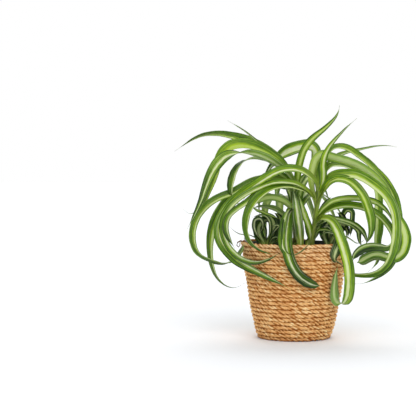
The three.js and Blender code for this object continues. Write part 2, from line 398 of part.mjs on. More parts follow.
// Each crown: its place in the soil, its radius there, and the way its bundle of leaf bases goes up from
// there to where the leaves part, in real millimetres.
const CROWNS = {
  rosette_middle: {
    foot: [-6, 15], radius: 6.5, colour: 0x5f9130, leaves: MIDDLE_CROWN_LEAVES,
    bundle: [[-6, 15, 112], [-6, 15, 130], [-4.5, 14, 157], [-2, 13, 180]], bundleRadius: 2.6,
  },
  rosette_right: {
    foot: [21, -9], radius: 8, colour: 0x689c34, leaves: RIGHT_CROWN_LEAVES,
    bundle: [[21, -9, 112], [21, -9, 124]], bundleRadius: 4.8,
  },
  rosette_front: {
    foot: [7, -27], radius: 5.5, colour: 0x4f8636, leaves: FRONT_CROWN_LEAVES,
    bundle: [[7.5, -26, 112]], bundleRadius: 2.4,
  },
  rosette_left: {
    foot: [-37, -12], radius: 5, colour: 0x3a6430, leaves: LEFT_OFFSET_LEAVES,
    bundle: [[-37, -12, 110]], bundleRadius: 2.2,
  },
  rosette_side: {
    foot: [43, -5], radius: 5, colour: 0x3f6b2e, leaves: RIGHT_OFFSET_LEAVES,
    bundle: [[44, -5, 110]], bundleRadius: 2.2,
  },
  rosette_back: {
    foot: [2, 39], radius: 6.5, colour: 0x578a33, leaves: [], bundle: [[2, 39, 112]], bundleRadius: 2.6,
  },
};

// ---- Helpers ----

function toSolid(geometry) {
  const bare = geometry.clone();
  bare.deleteAttribute("normal");
  bare.deleteAttribute("uv");
  const merged = mergeVertices(bare, 1e-4);
  return new wasm.Manifold(new wasm.Mesh({
    numProp: 3,
    vertProperties: Float32Array.from(merged.attributes.position.array),
    triVerts: Uint32Array.from(merged.index.array),
  }));
}

function toGeometry(solid) {
  const mesh = solid.getMesh();
  const geometry = new THREE.BufferGeometry();
  geometry.setAttribute("position", new THREE.BufferAttribute(mesh.vertProperties, mesh.numProp));
  geometry.setIndex(new THREE.BufferAttribute(mesh.triVerts, 1));
  return geometry;
}

// The largest outer body of a joined solid. What joining seals inside, or leaves loose, is dropped.
function mainBody(solid) {
  return solid.decompose().reduce((best, piece) => (piece.volume() > best.volume() ? piece : best));
}

function namedMesh(name, geometry, look) {
  geometry.computeVertexNormals();
  const mesh = new THREE.Mesh(geometry, new THREE.MeshStandardMaterial(look));
  mesh.name = name;
  return mesh;
}

// A closed solid of revolution about +Z, from a profile of [radius, height] points.
function turned(profile, sides) {
  const points = profile.map(([radius, height]) => new THREE.Vector2(radius, height));
  return new THREE.LatheGeometry(points, sides).rotateX(Math.PI / 2);
}

// A tapered round bar from one height to another, on +Z at [x, y].
function bar([x, y], bottom, top, bottomRadius, topRadius, sides) {
  const geometry = new THREE.CylinderGeometry(topRadius, bottomRadius, top - bottom, sides);
  return geometry.rotateX(Math.PI / 2).translate(x, y, (top + bottom) / 2);
}

// Repeatable random numbers from 0 to 1.
function seededRandom(seed) {
  let state = seed;
  return () => {
    state = (state * 48271) % 2147483647;
    return state / 2147483647;
  };
}

// ---- Basket ----

function basketRadius(height) {
  const rise = Math.max(height, 0) / BASKET_HEIGHT;
  return BASKET_BASE_RADIUS + (BASKET_TOP_RADIUS - BASKET_BASE_RADIUS) * rise ** BASKET_BULGE;
}

function basketGeometry() {
  const rowHeight = BASKET_HEIGHT / BASKET_ROWS;
  const floor = rowHeight;
  const profile = [[0, 0], [BASE_CONTACT_RADIUS, 0]];
  for (let row = 0; row < BASKET_ROWS; row += 1) {
    const middle = (row + 0.5) * rowHeight;
    const top = (row + 1) * rowHeight;
    profile.push([basketRadius(middle), middle]);
    if (row < BASKET_ROWS - 1) {
      profile.push([basketRadius(top) - ROW_GROOVE, top]);
    }
  }
  profile.push([BASKET_TOP_RADIUS - CORD_THICKNESS / 2, BASKET_HEIGHT]);
  for (const share of [0.98, 0.66, 0.33, 0.12]) {
    const height = BASKET_HEIGHT * share;
    profile.push([basketRadius(height) - CORD_THICKNESS, height]);
  }
  profile.push([basketRadius(floor) - CORD_THICKNESS, floor], [0, floor]);
  return toGeometry(toSolid(turned(profile, ROUND_SIDES)).simplify());
}

// ---- Liner ----

function linerOuterRadius(height) {
  return basketRadius(height) - CORD_THICKNESS - 2 * GAP;
}

function linerGeometry() {
  const floor = BASKET_HEIGHT / BASKET_ROWS + GAP;
  const heights = [floor, 15, 40, 80, LINER_TOP - 1];
  const outer = heights.map((height) => [linerOuterRadius(height), height]);
  const inner = heights.map((height) => [
    linerOuterRadius(height) - LINER_THICKNESS,
    Math.max(height, floor + LINER_THICKNESS),
  ]);
  const topRadius = linerOuterRadius(LINER_TOP);
  const profile = [
    [0, floor],
    ...outer,
    [topRadius, LINER_TOP],
    [topRadius - LINER_THICKNESS, LINER_TOP],
    ...inner.reverse(),
    [0, floor + LINER_THICKNESS],
  ];
  const geometry = turned(profile, ROUND_SIDES);
  raiseFlap(geometry.attributes.position);
  return geometry;
}

// Lifts the liner's top edge into a flap at the left, and ripples the rest of it.
function raiseFlap(position) {
  for (let index = 0; index < position.count; index += 1) {
    if (position.getZ(index) >= LINER_TOP - 1e-3) {
      const bearing = Math.atan2(position.getY(index), position.getX(index));
      const fromLeft = Math.PI - Math.abs(bearing);
      const flap = Math.exp(-((fromLeft / LINER_FLAP_SPREAD) ** 2)) * LINER_FLAP_HEIGHT;
      position.setZ(index, LINER_TOP + flap + 0.6 * Math.sin(5 * bearing));
    }
  }
}

// ---- Nursery pot ----

const POT_FLOOR = BASKET_HEIGHT / BASKET_ROWS + LINER_THICKNESS + 2 * GAP;

function potOuterRadius(height) {
  const share = (height - POT_FLOOR) / (POT_TOP - POT_LIP_DEPTH - POT_FLOOR);
  return THREE.MathUtils.lerp(POT_BASE_RADIUS, POT_NECK_RADIUS, share);
}

function potInnerRadius(height) {
  return potOuterRadius(height) - POT_WALL;
}

function nurseryPotGeometry() {
  const lipBottom = POT_TOP - POT_LIP_DEPTH;
  const innerFloor = POT_FLOOR + POT_WALL;
  const profile = [
    [0, POT_FLOOR],
    [POT_BASE_RADIUS, POT_FLOOR],
    [POT_NECK_RADIUS, lipBottom],
    [POT_LIP_RADIUS - POT_WALL, lipBottom],
    [POT_LIP_RADIUS, POT_TOP],
    [POT_LIP_RADIUS - POT_WALL, POT_TOP],
    [POT_LIP_RADIUS - 2 * POT_WALL, lipBottom + POT_WALL],
    [POT_NECK_RADIUS - POT_WALL, lipBottom],
    [potInnerRadius(innerFloor), innerFloor],
    [0, innerFloor],
  ];
  let pot = toSolid(turned(profile, ROUND_SIDES));
  for (let hole = 0; hole < DRAIN_HOLES; hole += 1) {
    const bearing = (hole / DRAIN_HOLES) * 2 * Math.PI;
    const centre = [DRAIN_RING_RADIUS * Math.cos(bearing), DRAIN_RING_RADIUS * Math.sin(bearing)];
    const drill = bar(centre, 0, innerFloor + 1, DRAIN_HOLE_RADIUS, DRAIN_HOLE_RADIUS, CROWN_SIDES);
    pot = pot.subtract(toSolid(drill));
  }
  return toGeometry(pot);
}

// ---- Soil ----

// The height of the soil's surface: a mound with low lumps.
function soilHeight(x, y) {
  const share = Math.min(Math.hypot(x, y) / POT_NECK_RADIUS, 1);
  const lump = Math.sin(x * 0.21 + 1) * Math.cos(y * 0.17) + 0.6 * Math.sin(x * 0.11 - y * 0.25);
  return SOIL_EDGE_HEIGHT + SOIL_MOUND * (1 - share * share) + SOIL_LUMP * lump;
}

function soilGeometry() {
  const bottom = POT_FLOOR + POT_WALL + GAP;
  const edge = potInnerRadius(SOIL_EDGE_HEIGHT) - 2 * GAP;
  const rings = [0.8, 0.58, 0.36, 0.16].map((share) => [edge * share, SOIL_EDGE_HEIGHT + SOIL_MOUND]);
  const profile = [
    [0, bottom],
    [potInnerRadius(bottom) - 2 * GAP, bottom],
    [edge, SOIL_EDGE_HEIGHT - SOIL_MOUND],
    ...rings,
    [0, SOIL_EDGE_HEIGHT + SOIL_MOUND],
  ];
  const geometry = turned(profile, ROUND_SIDES);
  const position = geometry.attributes.position;
  for (let index = 0; index < position.count; index += 1) {
    if (position.getZ(index) > SOIL_EDGE_HEIGHT) {
      position.setZ(index, soilHeight(position.getX(index), position.getY(index)));
    }
  }
  let soil = toSolid(geometry);
  for (const crown of Object.values(CROWNS)) {
    const radius = crown.radius + GAP / Math.cos(Math.PI / CROWN_SIDES);
    const hole = bar(crown.foot, crownBottom(crown) - GAP, BASKET_HEIGHT, radius, radius, CROWN_SIDES);
    soil = soil.subtract(toSolid(hole));
  }
  return toGeometry(soil);
}

// ---- Leaves ----

// Turns a place seen from the front, at a given depth, into the real place.
function alongSight([across, up, depth]) {
  const nearness = 1 + depth / EYE_DISTANCE;
  return new THREE.Vector3(across * nearness, depth, EYE_HEIGHT + (up - EYE_HEIGHT) * nearness);
}

// The path's rows at a place between them, with their tilt eased from one to the next.
function tiltAt(tilts, share) {
  const place = share * (tilts.length - 1);
  const row = Math.min(Math.floor(place), tilts.length - 2);
  return THREE.MathUtils.degToRad(THREE.MathUtils.lerp(tilts[row], tilts[row + 1], place - row));
}

// Places along the curve where a blade gets an edge: closer together where it bends more.
function stations(curve) {
  const shares = [0];
  const start = curve.getPoint(0);
  const heading = curve.getTangent(0);
  const previous = { point: start, tangent: heading };
  let effort = 0;
  for (let sample = 1; sample <= PATH_SAMPLES; sample += 1) {
    const share = sample / PATH_SAMPLES;
    const point = curve.getPoint(share);
    const tangent = curve.getTangent(share);
    effort += point.distanceTo(previous.point) / STATION_LENGTH;
    effort += tangent.angleTo(previous.tangent) / STATION_TURN;
    previous.point = point;
    previous.tangent = tangent;
    if (effort >= 1 && sample < PATH_SAMPLES) {
      shares.push(share);
      effort = 0;
    }
  }
  if (effort < 0.5) {
    shares.pop();
  }
  return [...shares, 1];
}

// A leaf is narrow where it sheathes the crown, widest along its arch, and runs out to a thin tip.
function bladeWidth(leaf, share) {
  const opening = THREE.MathUtils.smoothstep(share, 0, SHEATH_END);
  const narrowing = THREE.MathUtils.clamp((share - leaf.taper) / (1 - leaf.taper), 0, 1);
  const full = leaf.width * THREE.MathUtils.lerp(SHEATH_SHARE, 1, opening);
  return Math.max(full * (1 - narrowing) ** leaf.whip, leaf.tip ?? TIP_WIDTH);
}

// The blade as a flat ribbon along its path. away is the level direction that the leaf's arch is seen
// along: its upper face is turned by tilt from the arch's outer side to the opposite of away.
function bladeGeometry(leaf, points, tilts, away) {
  const curve = new THREE.CatmullRomCurve3(points);
  const shares = stations(curve);
  const corners = [];
  for (const share of shares) {
    const centre = curve.getPoint(share);
    const along = curve.getTangent(share);
    const sideways = new THREE.Vector3().crossVectors(along, away).normalize();
    const facing = new THREE.Vector3().crossVectors(along, sideways);
    const tilt = tiltAt(tilts, share);
    const normal = sideways.multiplyScalar(leaf.side * Math.cos(tilt));
    normal.addScaledVector(facing, Math.sin(tilt));
    const across = new THREE.Vector3().crossVectors(along, normal);
    const half = bladeWidth(leaf, share) / 2;
    for (const [edge, face] of [[-1, -1], [-1, 1], [1, 1], [1, -1]]) {
      const corner = centre.clone().addScaledVector(across, edge * half);
      corners.push(corner.addScaledVector(normal, (face * BLADE_THICKNESS) / 2));
    }
  }
  return ribbonGeometry(corners, shares.length);
}

// Closes rings of four corners into a ribbon. The upper and lower faces are split along the same lines.
function ribbonGeometry(corners, rings) {
  const faces = [];
  for (let ring = 0; ring < rings - 1; ring += 1) {
    for (let corner = 0; corner < 4; corner += 1) {
      const a = ring * 4 + corner;
      const b = ring * 4 + ((corner + 1) % 4);
      if (corner === 3) {
        faces.push(a, b, a + 4, b, b + 4, a + 4);
      } else {
        faces.push(a, b, b + 4, a, b + 4, a + 4);
      }
    }
  }
  const last = (rings - 1) * 4;
  faces.push(0, 3, 2, 0, 2, 1, last, last + 1, last + 2, last, last + 2, last + 3);
  const geometry = new THREE.BufferGeometry().setFromPoints(corners);
  geometry.setIndex(faces);
  return geometry;
}

// The bundle's points for one leaf of a crown. The leaf keeps to the side that it grows towards, and each
// leaf lies a little further out than the one before.
function bundlePoints(crown, bearing, index, count) {
  const out = crown.bundleRadius * THREE.MathUtils.lerp(BUNDLE_CORE, 1, index / count);
  return crown.bundle.map(([x, y, z]) => new THREE.Vector3(
    x + out * Math.cos(bearing),
    y + out * Math.sin(bearing),
    z,
  ));
}

function frontLeafBlades(crown) {
  const away = new THREE.Vector3(0, 1, 0);
  return crown.leaves.map((leaf, index) => {
    const path = leaf.path.map(alongSight);
    const [footX, footY] = crown.bundle.at(-1);
    const bearing = Math.atan2(path[HEADING_ROW].y - footY, path[HEADING_ROW].x - footX);
    const base = bundlePoints(crown, bearing, index, crown.leaves.length);
    const points = [...base, ...path];
    const tilts = [...base.map(() => leaf.path[0][3]), ...leaf.path.map((row) => row[3])];
    return bladeGeometry(leaf, points, tilts, away);
  });
}

function backLeafBlades(crown) {
  const random = seededRandom(BACK_SEED);
  const leaves = BACK_TIERS.flatMap((tier) => tier.bearings.map((bearing) => ({ ...tier, bearing })));
  const up = new THREE.Vector3(0, 0, 1);
  const foot = new THREE.Vector3(...crown.foot, 0);
  return leaves.map(({ bearing, width, path }, index) => {
    const turn = THREE.MathUtils.degToRad(bearing);
    const reach = 1 + BACK_LENGTH_SPREAD * (2 * random() - 1);
    const rise = 1 - BACK_LENGTH_SPREAD * random();
    const lean = BACK_LEAN * (random() - 0.5);
    const bottom = path[0][1];
    const place = ([out, height, aside], row) => {
      const sway = aside + lean * (row / path.length) ** 2;
      const point = new THREE.Vector3(out * reach, sway, bottom + (height - bottom) * rise);
      return point.applyAxisAngle(up, turn).add(foot);
    };
    const base = bundlePoints(crown, turn, index, leaves.length);
    const points = [...base, ...path.map(place)];
    const tilts = [...base.map(() => 0), ...path.map((row) => row[3])];
    const leaf = { side: RIGHT, width: width * (0.9 + 0.2 * random()), taper: 0.55, whip: 1.2 };
    return bladeGeometry(leaf, points, tilts, new THREE.Vector3(0, 1, 0).applyAxisAngle(up, turn));
  });
}

function crownBottom(crown) {
  return soilHeight(...crown.foot) - CROWN_DEPTH;
}

function crownTop(crown) {
  return soilHeight(...crown.foot) + CROWN_RISE;
}

function rosetteGeometry(crown) {
  const blades = crown.leaves.length > 0 ? frontLeafBlades(crown) : backLeafBlades(crown);
  const { foot, radius } = crown;
  const root = bar(foot, crownBottom(crown), crownTop(crown), radius, radius * 0.8, CROWN_SIDES);
  const joined = blades.reduce((solid, blade) => solid.add(toSolid(blade)), toSolid(root));
  return toGeometry(mainBody(joined.simplify(JOIN_TOLERANCE)));
}

// ---- Assembly ----

const plant = new THREE.Group();
const SEAGRASS = { color: 0xc99a5b, roughness: 0.85, metalness: 0 };
const FILM = { color: 0x8f9598, roughness: 0.35, metalness: 0 };
const BLACK_PLASTIC = { color: 0x1c1c1e, roughness: 0.5, metalness: 0 };
const EARTH = { color: 0x3a2a1e, roughness: 1, metalness: 0 };

plant.add(namedMesh("basket", basketGeometry(), SEAGRASS));
plant.add(namedMesh("liner", linerGeometry(), FILM));
plant.add(namedMesh("nursery_pot", nurseryPotGeometry(), BLACK_PLASTIC));
plant.add(namedMesh("soil", soilGeometry(), EARTH));
for (const [name, crown] of Object.entries(CROWNS)) {
  plant.add(namedMesh(name, rosetteGeometry(crown), { color: crown.colour, roughness: 0.45, metalness: 0 }));
}

export default plant;
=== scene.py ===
"""The looks of a curly variegated spider plant in a basket of twisted seagrass cord.

Everything is in metres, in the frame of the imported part: +Z up, -Y the front, and the origin in the middle of
the basket's flat base. The sizes and leaf tables below are in millimetres, like those of the part, and
new_piece turns them into metres.
"""

import math
import random

import bmesh
import bpy
import numpy as np
from mathutils import Euler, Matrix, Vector


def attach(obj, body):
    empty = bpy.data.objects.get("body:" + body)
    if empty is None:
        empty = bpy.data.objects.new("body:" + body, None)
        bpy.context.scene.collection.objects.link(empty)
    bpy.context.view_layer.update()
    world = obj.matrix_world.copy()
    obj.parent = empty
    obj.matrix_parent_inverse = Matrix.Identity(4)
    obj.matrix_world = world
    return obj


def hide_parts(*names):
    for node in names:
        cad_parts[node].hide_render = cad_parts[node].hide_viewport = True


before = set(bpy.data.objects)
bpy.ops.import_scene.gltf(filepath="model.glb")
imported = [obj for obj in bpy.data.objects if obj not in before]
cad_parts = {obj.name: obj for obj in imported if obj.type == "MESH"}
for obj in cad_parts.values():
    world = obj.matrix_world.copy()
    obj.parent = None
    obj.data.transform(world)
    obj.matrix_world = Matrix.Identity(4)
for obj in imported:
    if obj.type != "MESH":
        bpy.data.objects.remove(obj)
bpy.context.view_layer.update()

MM = 0.001
FULL_TURN = 2 * math.pi
LEFT = -1
RIGHT = 1

# ---- Seeds of the random draws ----

ROW_REACH_SEED = 11
ROW_RISE_SEED = 12
WALL_SEED = 3
BASE_SEED = 7
# Added to a strand's own seed, for its lumps and for its tone.
LUMP_SEED = 50
TONE_SEED = 90
FIBRE_SEED = 31
CREASE_SEED = 21
TEAR_SEED = 22
SOIL_SEED = 5
BARK_SEED = 41
PERLITE_SEED = 42
BACK_SEED = 7
# The back crown's random numbers are drawn as the part draws them.
RANDOM_FACTOR = 48271
RANDOM_RANGE = 2147483647
CROWN_SEED_STEP = 100

# ---- Basket ----

# The same driving sizes as the part's.
BASKET_HEIGHT = 125
BASKET_BASE_RADIUS = 45.5
BASKET_TOP_RADIUS = 70
BASKET_BULGE = 0.64
BASKET_ROWS = 24
ROW_HEIGHT = BASKET_HEIGHT / BASKET_ROWS

# Three strands make a cord. STRAND_OFFSET is how far each lies from the cord's middle, and TWIST_LENGTH is
# the stretch in which they wind round it once. Each end of a strand thins to STRAND_END_SHARE of its
# thickness, over STRAND_END_LENGTH.
CORD_DEPTH = 5.2
CORD_STEP = 2.2
STRANDS = 3
STRAND_RADIUS = 1.32
STRAND_OFFSET = 1.42
STRAND_SIDES = 7
STRAND_END_LENGTH = 9
STRAND_END_SHARE = 0.25
TWIST_LENGTH = 17.5

# How far the twist, the strand's thickness and its colour wander, and how fast, in radians a millimetre.
TWIST_SLACK = 1.0
TWIST_SLACK_RATE = 0.12
STRAND_LUMPINESS = 0.22
STRAND_LUMP_RATE = 0.4
STRAND_TONE_RATE = 0.07

# How far the rows wander up and down and in and out, and how fast, in radians a turn of the basket.
ROW_WANDER = 0.65
ROW_RISE_RATE = 40
ROW_REACH_RATE = 18

# A row climbs to the next one over this share of a turn, at the back.
CLIMB_BEARING = 90
CLIMB_SHARE = 0.1

# How far the base's coil stays inside the bottom row's outer side, in rows.
COIL_INSET_ROWS = 1.5

# The plain cords behind the rows and halfway between them, which close the gaps.
CORE_RADIUS = 1.75
CORE_INSET = 1.1
CORE_STEP = 5
CORE_SIDES = 6

# Loose fibres: each starts inside the wall, bows outwards by its lift, and thins out.
FIBRE_COUNT = 160
FIBRE_LENGTH = 7
FIBRE_LENGTH_SHARES = (0.4, 1.2)
FIBRE_LIFTS = (0.5, 2.2)
FIBRE_BOW = 2.2
FIBRE_SLANT = 0.35
FIBRE_ROOT_DEPTH = 1.3
FIBRE_RADIUS = 0.09
FIBRE_TIP_SHARE = 0.4
FIBRE_POINTS = 7
FIBRE_SIDES = 4
FIBRE_FROM_EDGE = 3

# A dried curl of leaf on the rim at the left, and its radius at both ends.
DRIED_CURL = [(-66, -6, 124), (-70, -7, 125.5), (-73.5, -8, 123.5), (-74.5, -8.5, 120), (-72.5, -9, 117.5),
              (-70.5, -9, 119.5), (-70.5, -8.5, 123), (-68.5, -8, 127)]
DRIED_CURL_RADII = (1.0, 0.35)
DRIED_CURL_SIDES = 7

# ---- Liner ----

LINER_CLEARANCE = 0.6
LINER_THICKNESS = 0.25
LINER_FLOOR = 6
LINER_TOP = 121.5
LINER_SIDES = 180
LINER_ROWS = [0, 0.05, 0.15, 0.3, 0.5, 0.7, 0.85, 0.92, 0.96, 1]
# Its creases are shallower near the floor, and slant as they go up.
LINER_CREASE = 0.25
LINER_CREASE_AT_FLOOR = 0.3
LINER_CREASE_RATE = 7
LINER_CREASE_SLANT = 0.9
LINER_RAGGED = 0.7
LINER_TEAR_RATE = 9
# The flap that stands over the rim at the left, and leans out.
LINER_FLAP_HEIGHT = 9
LINER_FLAP_BEARING = math.radians(191)
LINER_FLAP_SPREAD = 0.17
LINER_FLAP_LEAN = 0.3

# ---- Nursery pot ----

POT_WALL = 1.2
POT_FLOOR = 6.5
POT_CORNER = 1.5
POT_BASE_RADIUS = 41
POT_NECK_RADIUS = 57.5
POT_LIP_RADIUS = 61.5
POT_LIP_DEPTH = 10
POT_TOP = 122.5
POT_SIDES = 96
# The lowest height and the number of rows of the plain wall, outside and inside.
POT_OUTER_ROWS = (15, 8)
POT_INNER_ROWS = (9, 6)
# The lip's section: a roll at its top, and points this far in from its edge and over its foot.
POT_ROLL = 1.1
POT_ROLL_START = -0.3
POT_ROLL_POINTS = 9
POT_LIP_OUTSIDE = [(1.6, 0.2), (1.1, 1)]
POT_LIP_INSIDE = (2.6, 2)
# How far below the lip's foot the inside of the plain wall ends.
POT_NECK_INSIDE = 8
# A turned piece stops this far from its axis, where a flat cap closes it.
CAP_RADIUS = 0.5

# ---- Soil ----

SOIL_EDGE_HEIGHT = 106
SOIL_EDGE_DEPTH = 3
SOIL_CLEARANCE = 0.3
SOIL_MOUND = 3
SOIL_LUMP = 0.8
SOIL_CRUMB = 0.5
SOIL_RINGS = 44
SOIL_SIDES = 96
SOIL_MIDDLE_SHARE = 0.01
# The lumps are two waves: how fast each goes across and in depth, and the second one's share.
SOIL_WAVE = (0.21, 0.17)
SOIL_SLANT_WAVE = (0.11, 0.25)
SOIL_SLANT_SHARE = 0.6

# Bits on the soil: the limits of their length, width and height, of their size, and of how knobbly they are.
BIT_STRETCHES = ((0.8, 2.2), (0.6, 1.2), (0.35, 0.8))
BIT_SIZES = (0.6, 1.3)
BIT_KNOBS = (0.75, 1.2)
BIT_LEAN = 0.05
BIT_LIFT = 0.2
BIT_FROM_EDGE = 4
BARK_COUNT = 130
BARK_SIZE = 1.6
PERLITE_COUNT = 60
PERLITE_SIZE = 0.9

# ---- Leaves ----

# The front view's eye, which the leaf tables are drawn from.
EYE_DISTANCE = 1850
EYE_HEIGHT = 252

# A blade has SHEATH_SHARE of its full width at its root, and all of it from SHEATH_END of its length on. A
# blunt tip closes from ROUND_TIP_START on. A thin one narrows to BLUNT_CAD_TIP and closes from THIN_TIP_START
# on. Both end in FINE_TIP. HALF_SECTION is where the points of a ring lie, from the middle to the margin.
BLADE_THICKNESS = 0.5
MARGIN_THINNING = 0.85
SHEATH_SHARE = 0.62
SHEATH_END = 0.3
FINE_TIP = 0.35
BLUNT_CAD_TIP = 1.1
ROUND_TIP_START = 0.965
THIN_TIP_START = 0.9
HALF_SECTION = (0.25, 0.5, 0.75, 1.0)

# The channel's depth is a share of the half width. It is deepest at the root, and the ripple starts past it,
# over the OPENING shares of the leaf's length.
OPENING = (0.05, 0.3)
CHANNEL_AT_ROOT = 0.75
CHANNEL = 0.3
CHANNEL_CURVE = 1.5
CHANNEL_SINK = 0.4
RIPPLE = 0.35
RIPPLE_LENGTH = 26
# The half widths from which a blade has its full ripple and thickness.
RIPPLE_HALF_WIDTH = 5
THICK_HALF_WIDTH = 3

# A ring comes after this length, or after this much bend.
STATION_LENGTH = 3.2
STATION_TURN = math.radians(7)
FEWEST_STATIONS = 12
CURVE_SAMPLES = 1200

# The first leaf's place in the bundle of leaf bases, as a share of its radius, and the point of a leaf's path
# that gives its bearing in the bundle.
BUNDLE_CORE = 0.4
HEADING_ROW = 4

# The ribbed base of a crown, from below the soil's surface up to the bundle.
SHEATH_SIDES = 28
SHEATH_ROWS = 12
SHEATH_DEPTH = 3
SHEATH_RISE = 13
SHEATH_LIP = 0.4
SHEATH_FOOT_SHARE = 0.1
SHEATH_LEAN_START = 0.3
SHEATH_RIB = 0.09
SHEATH_RIB_RATE = 3.5
SHEATH_RIB_SINK = 0.04
SHEATH_LOOKS = {"under": 0.0, "tone": 0.2, "stripe": 0.0, "shift": 0.0, "cream": 0.4}

# Surface lengths are in units of UV_LENGTH. Each strand and leaf starts at its own place in the grain.
UV_LENGTH = 10
STRAND_GRAIN_STEP = 3.7
LEAF_GRAIN_STEP = 7.3

# ---- Studio, in metres and degrees ----

CAMERA_LENS = 123.6
CAMERA_SENSOR = 36
CAMERA_DOWN = 2.608
CAMERA_LEFT = 3.474
FLOOR_SIZE = 14
BACKDROP_STRENGTH = 1.0
AMBIENT_STRENGTH = 0.65
# Each light: its name, strength, height over the floor at the front, bearing to the left, and softness.
SOFT_LIGHTS = [
    ("front_light", 1.1, 40, -12, 45),
    ("back_light", 1.2, 130, 0, 45),
]

# ---- Colours, sRGB from 0 to 255. A ramp is a list of (place, colour). ----

SEAGRASS_RAMP = [(0.26, (190, 128, 72)), (0.42, (226, 166, 100)), (0.54, (244, 194, 126)),
                 (0.7, (255, 232, 180))]
SEAGRASS_GREENISH = (196, 170, 92)
# Painted contact shade on the bottom row, where the basket meets the floor.
SEAGRASS_CONTACT_SHADE = (150, 96, 50)
# Painted highlight that makes the top rows paler.
SEAGRASS_RIM_HIGHLIGHT = (252, 230, 188)
# Painted shade in the gaps between and behind the strands.
SEAGRASS_GAP_SHADE = (198, 160, 110)

# Dark, middle and bright green. The second palette is the first with painted light, and the third is the first
# with painted shade.
LEAF_PALETTES = {
    "leaf_green": ((18, 40, 2), (78, 116, 8), (156, 186, 20)),
    "leaf_bright": ((22, 46, 2), (88, 128, 10), (166, 194, 24)),
    "leaf_dark": ((12, 28, 8), (42, 74, 18), (92, 124, 22)),
}
LIME_STRIPE = (186, 208, 84)
WHITE_STRIPE = (238, 240, 206)
# The underside's own paler green, lightened further as painted light shining through.
PALE_UNDERSIDE_AND_SHINE = (156, 184, 108)
LEAF_ROOT = (178, 196, 78)
LEAF_FOOT = (104, 98, 44)

# Materials with a plain grain. grain colours them and relief shapes their surface, each with its scale,
# detail and at times roughness. strength and depth are the relief's, with depth in metres.
DRY_BIT = dict(roughness=0.9, gloss=0.2, grain=(500, 4), relief=(900, 3), strength=0.6, depth=0.0006)
GRAINY_LOOKS = {
    "crinkled_film": dict(roughness=0.32, gloss=0.5, grain=(120, 3),
                          ramp=[(0.3, (96, 100, 102)), (0.7, (168, 172, 172))],
                          relief=((260, 260, 70), 3), strength=0.5, depth=0.0008),
    "black_pot_plastic": dict(roughness=0.45, gloss=0.4, grain=(60, 2),
                              ramp=[(0.3, (18, 18, 19)), (0.75, (38, 37, 36))],
                              relief=(900, 2), strength=0.12, depth=0.0002),
    "potting_soil": dict(roughness=0.95, gloss=0.15, grain=(420, 5, 0.7),
                         ramp=[(0.3, (24, 16, 10)), (0.52, (52, 36, 24)), (0.75, (92, 68, 46))],
                         relief=(700, 5, 0.7), strength=0.9, depth=0.0015),
    "bark": dict(DRY_BIT, ramp=[(0.3, (50, 32, 20)), (0.7, (112, 76, 48))]),
    "perlite": dict(DRY_BIT, ramp=[(0.3, (196, 192, 184)), (0.7, (236, 233, 226))]),
    "dried_leaf": dict(DRY_BIT, ramp=[(0.3, (88, 56, 30)), (0.7, (150, 104, 60))]),
    "pale_floor": dict(roughness=0.9, gloss=0.1, grain=(3, 2),
                       ramp=[(0.2, (243, 245, 248)), (0.8, (245, 247, 250))]),
}


def leaf(side, width, path, taper=0.6, whip=1, tip=None, tone=0, stripe=0.3, shift=0, cream=0.5):
    """One row of a leaf table. The blade narrows from taper of its length on, sooner where whip is high, and
    ends in a thin tip, or a blunt one of width tip. tone runs from -1, dark, to 1, bright: the leaves' own
    tone, and on leaves deep in the crown, painted shade. stripe is the pale stripe's half width as a share of
    the blade's, shift moves it off the middle, and cream runs from 0, lime, to 1, white."""
    return dict(side=side, width=width, path=path, taper=taper, whip=whip, tip=tip,
                tone=tone, stripe=stripe, shift=shift, cream=cream)


# A leaf's path has (across, up, depth, tilt) for each point, from its root to its tip. Across and up are as
# seen from the front. Tilt turns the upper face from the outer side of the leaf's arch, 0, to the front, 90.

